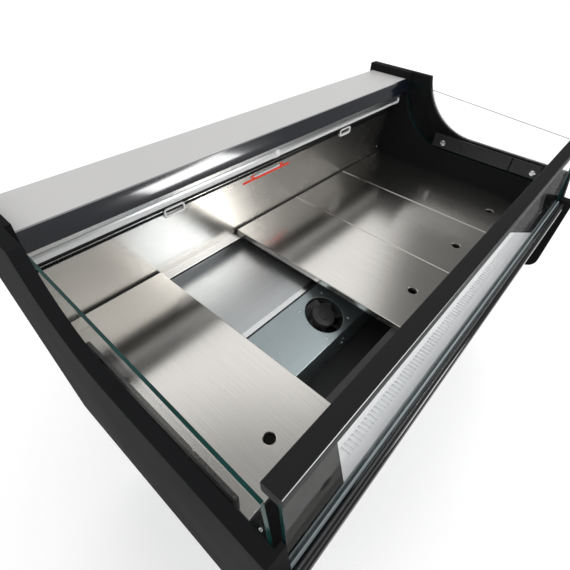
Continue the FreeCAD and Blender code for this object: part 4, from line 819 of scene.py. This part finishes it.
def make_lamps():
    """LED tubes: an aluminium back, a clear ribbed cover and the board between them."""
    steps = 2 * COVER_RIBS
    lining_radius = LAMP_RADIUS - LAMP_WALL
    crest_radius = LAMP_RADIUS - COVER_INSET
    back_outline = arc_points(LAMP_RADIUS, *BACK_ARC, BACK_STEPS)
    back_outline += arc_points(lining_radius, *reversed(BACK_ARC), BACK_STEPS)
    crests = arc_points(crest_radius, *COVER_ARC, steps)
    valleys = arc_points(crest_radius - RIB_DEPTH, *COVER_ARC, steps)
    cover_outline = [crests[i] if i % 2 else valleys[i] for i in range(steps + 1)]
    cover_outline += arc_points(lining_radius, *reversed(COVER_ARC), steps)
    board_outline = [(LAMP_Y + y, LAMP_Z + z) for y, z in BOARD]
    back = bmesh.new()
    cover = bmesh.new()
    board = bmesh.new()
    for x_low, x_high in LAMP_ENDS:
        extrude_profile(back, back_outline, x_low, x_high)
        extrude_profile(cover, cover_outline, x_low, x_high)
        extrude_profile(board, board_outline, x_low + BOARD_ROOM, x_high - BOARD_ROOM)
    piece("lamp_backs", back, "cabinet", "lamp_rail_satin", ("lamp_tubes",))
    piece("lamp_covers", cover, "cabinet", "lamp_cover")
    piece("lamp_boards", board, "cabinet", "white_plastic")


# Black strip at the rear edge of the fan plate, painted shade for the gap to the cover trim: (y, z)
# outline and half length
PLATE_SHADE_STRIP = ((0.0080, 0.59701775), (0.0105, 0.5978), (0.0105, 0.5992), (0.0084, 0.59821775))
PLATE_SHADE_STRIP_HALF = 0.7205
# Cable clip on the plate's flange: its screw, and the wire loop below it
FLANGE_Y = -0.1365
FLANGE_SCREW = Vector((-0.1674, FLANGE_Y, 0.5127))
FLANGE_SCREW_RADIUS = 0.0042
FLANGE_SCREW_RISE = 0.0018
LOOP_CENTRE = Vector((-0.1730, FLANGE_Y - 0.0022, 0.4985))
LOOP_HALF_WIDTH = 0.0035
LOOP_HALF_HEIGHT = 0.0060
LOOP_POINTS = 8
LOOP_WIRE = 0.0016


def make_plate_details():
    """Black strip between the cover trim and the fan plate, painted shade for the gap there, and the
    cable clip on the flange.
    """
    strip("plate_seal", PLATE_SHADE_STRIP, -PLATE_SHADE_STRIP_HALF, PLATE_SHADE_STRIP_HALF, "cabinet", "black_liner",
          "seal_black")
    bm = bmesh.new()
    screw_head(bm, FLANGE_SCREW, (0, -1, 0), FLANGE_SCREW_RADIUS, FLANGE_SCREW_RISE)
    loop = []
    for k in range(LOOP_POINTS):
        turn = math.tau * k / LOOP_POINTS
        loop.append(LOOP_CENTRE + Vector((-LOOP_HALF_WIDTH * math.cos(turn), 0,
                                          LOOP_HALF_HEIGHT * math.sin(turn))))
    wire_loop(bm, loop, LOOP_WIRE)
    piece("flange_cable_clip", bm, "cabinet", "bright_screws", (), CRISP_ANGLE)


# Fascia: Y of its top edge, half the joint between its lengths, and the bulge of its face
FASCIA_TOP_Y = 0.2715
FASCIA_JOINT = 0.0005
FASCIA_BULGE = 0.0014
FASCIA_STEPS = 14


def make_fascia():
    """Blue-black fascia with a softly rounded face, in two lengths along the worktop."""
    low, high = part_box("fascia_strips")
    top = Vector((FASCIA_TOP_Y, high[2]))
    foot = Vector((low[1], low[2]))
    outward = Vector((foot.y - top.y, top.x - foot.x)).normalized()
    face = []
    for i in range(FASCIA_STEPS + 1):
        share = i / FASCIA_STEPS
        spot = top.lerp(foot, share) + outward * FASCIA_BULGE * math.sin(math.pi * share)
        face.append((max(spot.x, low[1]), spot.y))
    outline = [(high[1], high[2])] + face + [(high[1], low[2])]
    bm = bmesh.new()
    for x_low, x_high in ((low[0], -FASCIA_JOINT), (FASCIA_JOINT, high[0])):
        extrude_profile(bm, outline, x_low, x_high)
    piece("fascia_faces", bm, "cabinet", "fascia", ("fascia_strips",), CRISP_ANGLE)


# Knob on the inside of each end: its place on the right, and its (radius, height) profile
KNOB_PLACE = (0.721, -0.006, 0.769)
KNOB_PROFILE = (
    (0.0, 0.0), (0.0085, 0.0), (0.0085, 0.0035), (0.0078, 0.0045), (0.0060, 0.0050),
    (0.0056, 0.0085), (0.0048, 0.0095), (0.0, 0.0098),
)
KNOB_STEPS = 36


def make_end_knobs():
    """Turn knob between the clamp screws of each end glass."""
    bm = bmesh.new()
    x, y, z = KNOB_PLACE
    for side in (-1, 1):
        lathe(bm, (side * x, y, z), (-side, 0, 0), KNOB_PROFILE, KNOB_STEPS)
    piece("end_glass_knobs", bm, "cabinet", "black_clamp")


# Vane of the grille: room in front and behind and at its ends, height over the grille's foot at its
# front, rise to its rear, and thickness
VANE_MARGIN = 0.008
VANE_ROOM = 0.004
VANE_LOW = 0.0010
VANE_RISE = 0.0020
VANE_THICK = 0.0012


def make_grille_vane():
    """White vane under the slots of the return air grille, which turns the air downwards."""
    low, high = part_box("return_air_grille")
    front = low[1] + VANE_MARGIN
    rear = high[1] - VANE_MARGIN
    foot = low[2] + VANE_LOW
    outline = [(front, foot), (front, foot + VANE_THICK),
               (rear, foot + VANE_RISE + VANE_THICK), (rear, foot + VANE_RISE)]
    strip("grille_vane", outline, low[0] + VANE_ROOM, high[0] - VANE_ROOM, "cabinet", "white_plastic",
          "white_plastic")


# Cove in front of the grille: (y, z) of its foot, Y of its upright part, heights of the bend and the
# top, and how far its back lies behind and below its face
COVE_FOOT_Y = -0.3860
COVE_FOOT_Z = 0.6503
COVE_WALL = -0.4024
COVE_BEND = 0.6660
COVE_TOP = 0.6905
COVE_BACK_Y = 0.00036
COVE_BACK_Z = 0.00024
COVE_STEPS = 8
END_ROOM = 0.001


def make_cove():
    """White cove from the front edge of the grille up to the hinge bar."""
    low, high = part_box("return_air_grille")
    face = []
    for i in range(COVE_STEPS + 1):
        turn = math.pi / 2 * i / COVE_STEPS
        face.append((COVE_FOOT_Y + (COVE_WALL - COVE_FOOT_Y) * math.sin(turn),
                     COVE_BEND + (COVE_FOOT_Z - COVE_BEND) * math.cos(turn)))
    face.append((COVE_WALL, COVE_TOP))
    back = [(y - COVE_BACK_Y, z - COVE_BACK_Z) for y, z in reversed(face)]
    strip("front_cove", face + back, low[0] + END_ROOM, high[0] - END_ROOM, "cabinet", "white_plastic",
          "white_plastic", CRISP_ANGLE)


# Rear deck rail: height of its top, its ribs by their front and rear edges, their rise and lean, and
# the black strip on its front edge, painted shade for the gap over the cover
RAIL_TOP = 0.632
RAIL_RIBS = ((0.2968, 0.2990), (0.3070, 0.3078), (0.3180, 0.3190))
RIB_RISE = 0.0012
RIB_LEAN = 0.0003
RAIL_SHADE_STRIP = 0.0034
RAIL_SHADE_STRIP_FOOT = RAIL_TOP - 0.0032
RAIL_SHADE_STRIP_FRONT = RAIL_TOP - 0.0010
RAIL_SHADE_STRIP_REAR = RAIL_TOP - 0.0002


def open_span():
    """The stretch along X where the deck panel is lifted out."""
    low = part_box("deck_panel_1")[1][0]
    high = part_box("deck_panel_3")[0][0]
    return low + END_ROOM, high - END_ROOM


def make_rail_ribs():
    """Rolled ribs along the rear deck rail where the panel is lifted out."""
    bm = bmesh.new()
    for front, rear in RAIL_RIBS:
        outline = [(front, RAIL_TOP), (front + RIB_LEAN, RAIL_TOP + RIB_RISE),
                   (rear - RIB_LEAN, RAIL_TOP + RIB_RISE), (rear, RAIL_TOP)]
        extrude_profile(bm, outline, *open_span())
    piece("rear_rail_ribs", bm, "cabinet", "bright_aluminium")


def make_rail_shade_strip():
    """Black strip along the front edge of the rear deck rail, over the cover: painted shade for the gap
    there.
    """
    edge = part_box("rear_deck_rail")[0][1]
    front = edge - RAIL_SHADE_STRIP
    outline = [(edge, RAIL_SHADE_STRIP_REAR), (front, RAIL_SHADE_STRIP_FRONT),
               (front, RAIL_SHADE_STRIP_FOOT), (edge, RAIL_SHADE_STRIP_FOOT)]
    strip("rail_seal", outline, *open_span(), "cabinet", "black_liner", "seal_black")


# Front glass: its hinge and backward lean, and the capping of its top rail, in millimetres across the
# glass and up along it from the hinge
GLASS_HINGE = Vector((0, -0.3945, 0.700))
GLASS_LEAN = math.radians(7.4)
CAPPING = ((-4.3, 213.7), (-3.0, 213.7), (-3.0, 214.15), (-4.3, 214.15))
CAPPING_HALF = 0.7175


def make_rail_capping():
    """Bright capping on the front edge of the glass's top rail."""
    across = Vector((0, math.cos(GLASS_LEAN), -math.sin(GLASS_LEAN)))
    along = Vector((0, math.sin(GLASS_LEAN), math.cos(GLASS_LEAN)))
    spots = [GLASS_HINGE + across * u * MM + along * v * MM for u, v in CAPPING]
    strip("rail_capping", [(spot.y, spot.z) for spot in spots], -CAPPING_HALF, CAPPING_HALF,
          "front_glass_frame", "bright_aluminium", "bright_aluminium")


# Floor and light

FLOOR_HALF = 14
FLOOR_CELLS = 8
FLOOR_COLOUR = (0.93, 0.93, 0.93)
# What the floor adds to its own shade as the camera, metal and glass see it, so that it reads as
# white
FLOOR_GLOW = 0.20


def make_floor():
    bm = bmesh.new()
    bmesh.ops.create_grid(bm, x_segments=FLOOR_CELLS, y_segments=FLOOR_CELLS, size=FLOOR_HALF)
    floor = bpy.data.objects.new("floor", to_mesh("floor", bm))
    SCENE.collection.objects.link(floor)
    pale = Finish("pale_floor", FLOOR_COLOUR, 0.0, 0.8)
    pale.vary_colour(pale.noise(1.2), 0.01)
    pale.set({"Specular IOR Level": 0.1, "Emission Color": (1, 1, 1, 1)})
    path = pale.add("ShaderNodeLightPath")
    seen = path.outputs["Is Camera Ray"]
    for ray in ("Is Glossy Ray", "Is Transmission Ray"):
        either = pale.add("ShaderNodeMath", operation="MAXIMUM")
        pale.join(seen, either.inputs[0])
        pale.join(path.outputs[ray], either.inputs[1])
        seen = either.outputs[0]
    glow = pale.add("ShaderNodeMath", operation="MULTIPLY")
    pale.join(seen, glow.inputs[0])
    glow.inputs[1].default_value = FLOOR_GLOW
    pale.join(glow.outputs[0], pale.shader.inputs["Emission Strength"])
    floor.data.materials.append(pale.material)


# The studio as metal shows it: a bright wall behind the counter, a dark opening at its right end, and
# a front that is dark below and bright above, under a dimmer ceiling. Edges are headings from +X, or
# the upward part of a direction.
WALL_EDGE = (math.radians(18.0), math.radians(24.0))
FRONT_EDGE = (math.radians(-25.0), math.radians(-8.0))
FRONT_RISE = (0.60, 0.74)
CEILING_RISE = (0.82, 0.92)
SIDE_LEVEL = 0.14
FRONT_LEVEL = 1.0
FRONT_LOW_LEVEL = 0.04
CEILING_LEVEL = 0.34


def make_world():
    """White to the camera and to matt surfaces; metal sees the studio."""
    world = bpy.data.worlds.new("studio")
    SCENE.world = world
    world.use_nodes = True
    tree = world.node_tree

    def add(kind, **settings):
        node = tree.nodes.new(kind)
        for key, value in settings.items():
            setattr(node, key, value)
        return node

    def ease(source, start, stop, low, high):
        node = add("ShaderNodeMapRange", interpolation_type="SMOOTHSTEP")
        for socket, value in zip(node.inputs[1:5], (start, stop, low, high)):
            socket.default_value = value
        tree.links.new(source, node.inputs["Value"])
        return node.outputs["Result"]

    def combine(operation, first, second):
        node = add("ShaderNodeMath", operation=operation)
        tree.links.new(first, node.inputs[0])
        tree.links.new(second, node.inputs[1])
        return node.outputs[0]

    axes = add("ShaderNodeSeparateXYZ")
    tree.links.new(add("ShaderNodeTexCoord").outputs["Generated"], axes.inputs["Vector"])
    heading = combine("ARCTAN2", axes.outputs["Y"], axes.outputs["X"])
    wall = ease(heading, *WALL_EDGE, SIDE_LEVEL, 1.0)
    front_heading = ease(heading, *FRONT_EDGE, 1.0, 0.0)
    front_height = ease(axes.outputs["Z"], *FRONT_RISE, FRONT_LOW_LEVEL, FRONT_LEVEL)
    front = combine("MULTIPLY", front_heading, front_height)
    ceiling = ease(axes.outputs["Z"], *CEILING_RISE, 1.0, CEILING_LEVEL)
    studio = combine("MULTIPLY", combine("ADD", wall, front), ceiling)
    mix = add("ShaderNodeMix", data_type="FLOAT")
    mix.inputs["A"].default_value = 1.0
    tree.links.new(add("ShaderNodeLightPath").outputs["Is Glossy Ray"], mix.inputs["Factor"])
    tree.links.new(studio, mix.inputs["B"])
    background = tree.nodes["Background"]
    background.inputs["Color"].default_value = (1, 1, 1, 1)
    tree.links.new(mix.outputs["Result"], background.inputs["Strength"])


# Softbox: its place, what it points at, width and height, and watts
KEY_PLACE = Vector((0.80, -1.45, 1.75))
KEY_TARGET = Vector((-0.2, 0.2, 0.8))
KEY_WIDTH = 0.75
KEY_HEIGHT = 0.60
KEY_POWER = 10.5


def make_key_light():
    data = bpy.data.lights.new("key_softbox", "AREA")
    data.shape = "RECTANGLE"
    data.size = KEY_WIDTH
    data.size_y = KEY_HEIGHT
    data.energy = KEY_POWER
    lamp = bpy.data.objects.new("key_softbox", data)
    lamp.location = KEY_PLACE
    lamp.rotation_euler = (KEY_TARGET - KEY_PLACE).to_track_quat("-Z", "Y").to_euler()
    SCENE.collection.objects.link(lamp)


SCENE.view_settings.view_transform = "Standard"
make_camera()
FINISH = make_finishes()
dress_cad_nodes()
for number, fan_x in enumerate(FAN_X, 1):
    impeller(number, fan_x)
make_screws()
make_clips()
make_collars()
make_load_line()
make_outlet_bars()
make_fascia()
make_lamps()
make_panel_shade_strips()
make_plate_details()
make_end_knobs()
make_grille_vane()
make_cove()
make_rail_ribs()
make_rail_shade_strip()
make_rail_capping()
make_floor()
make_world()
make_key_light()
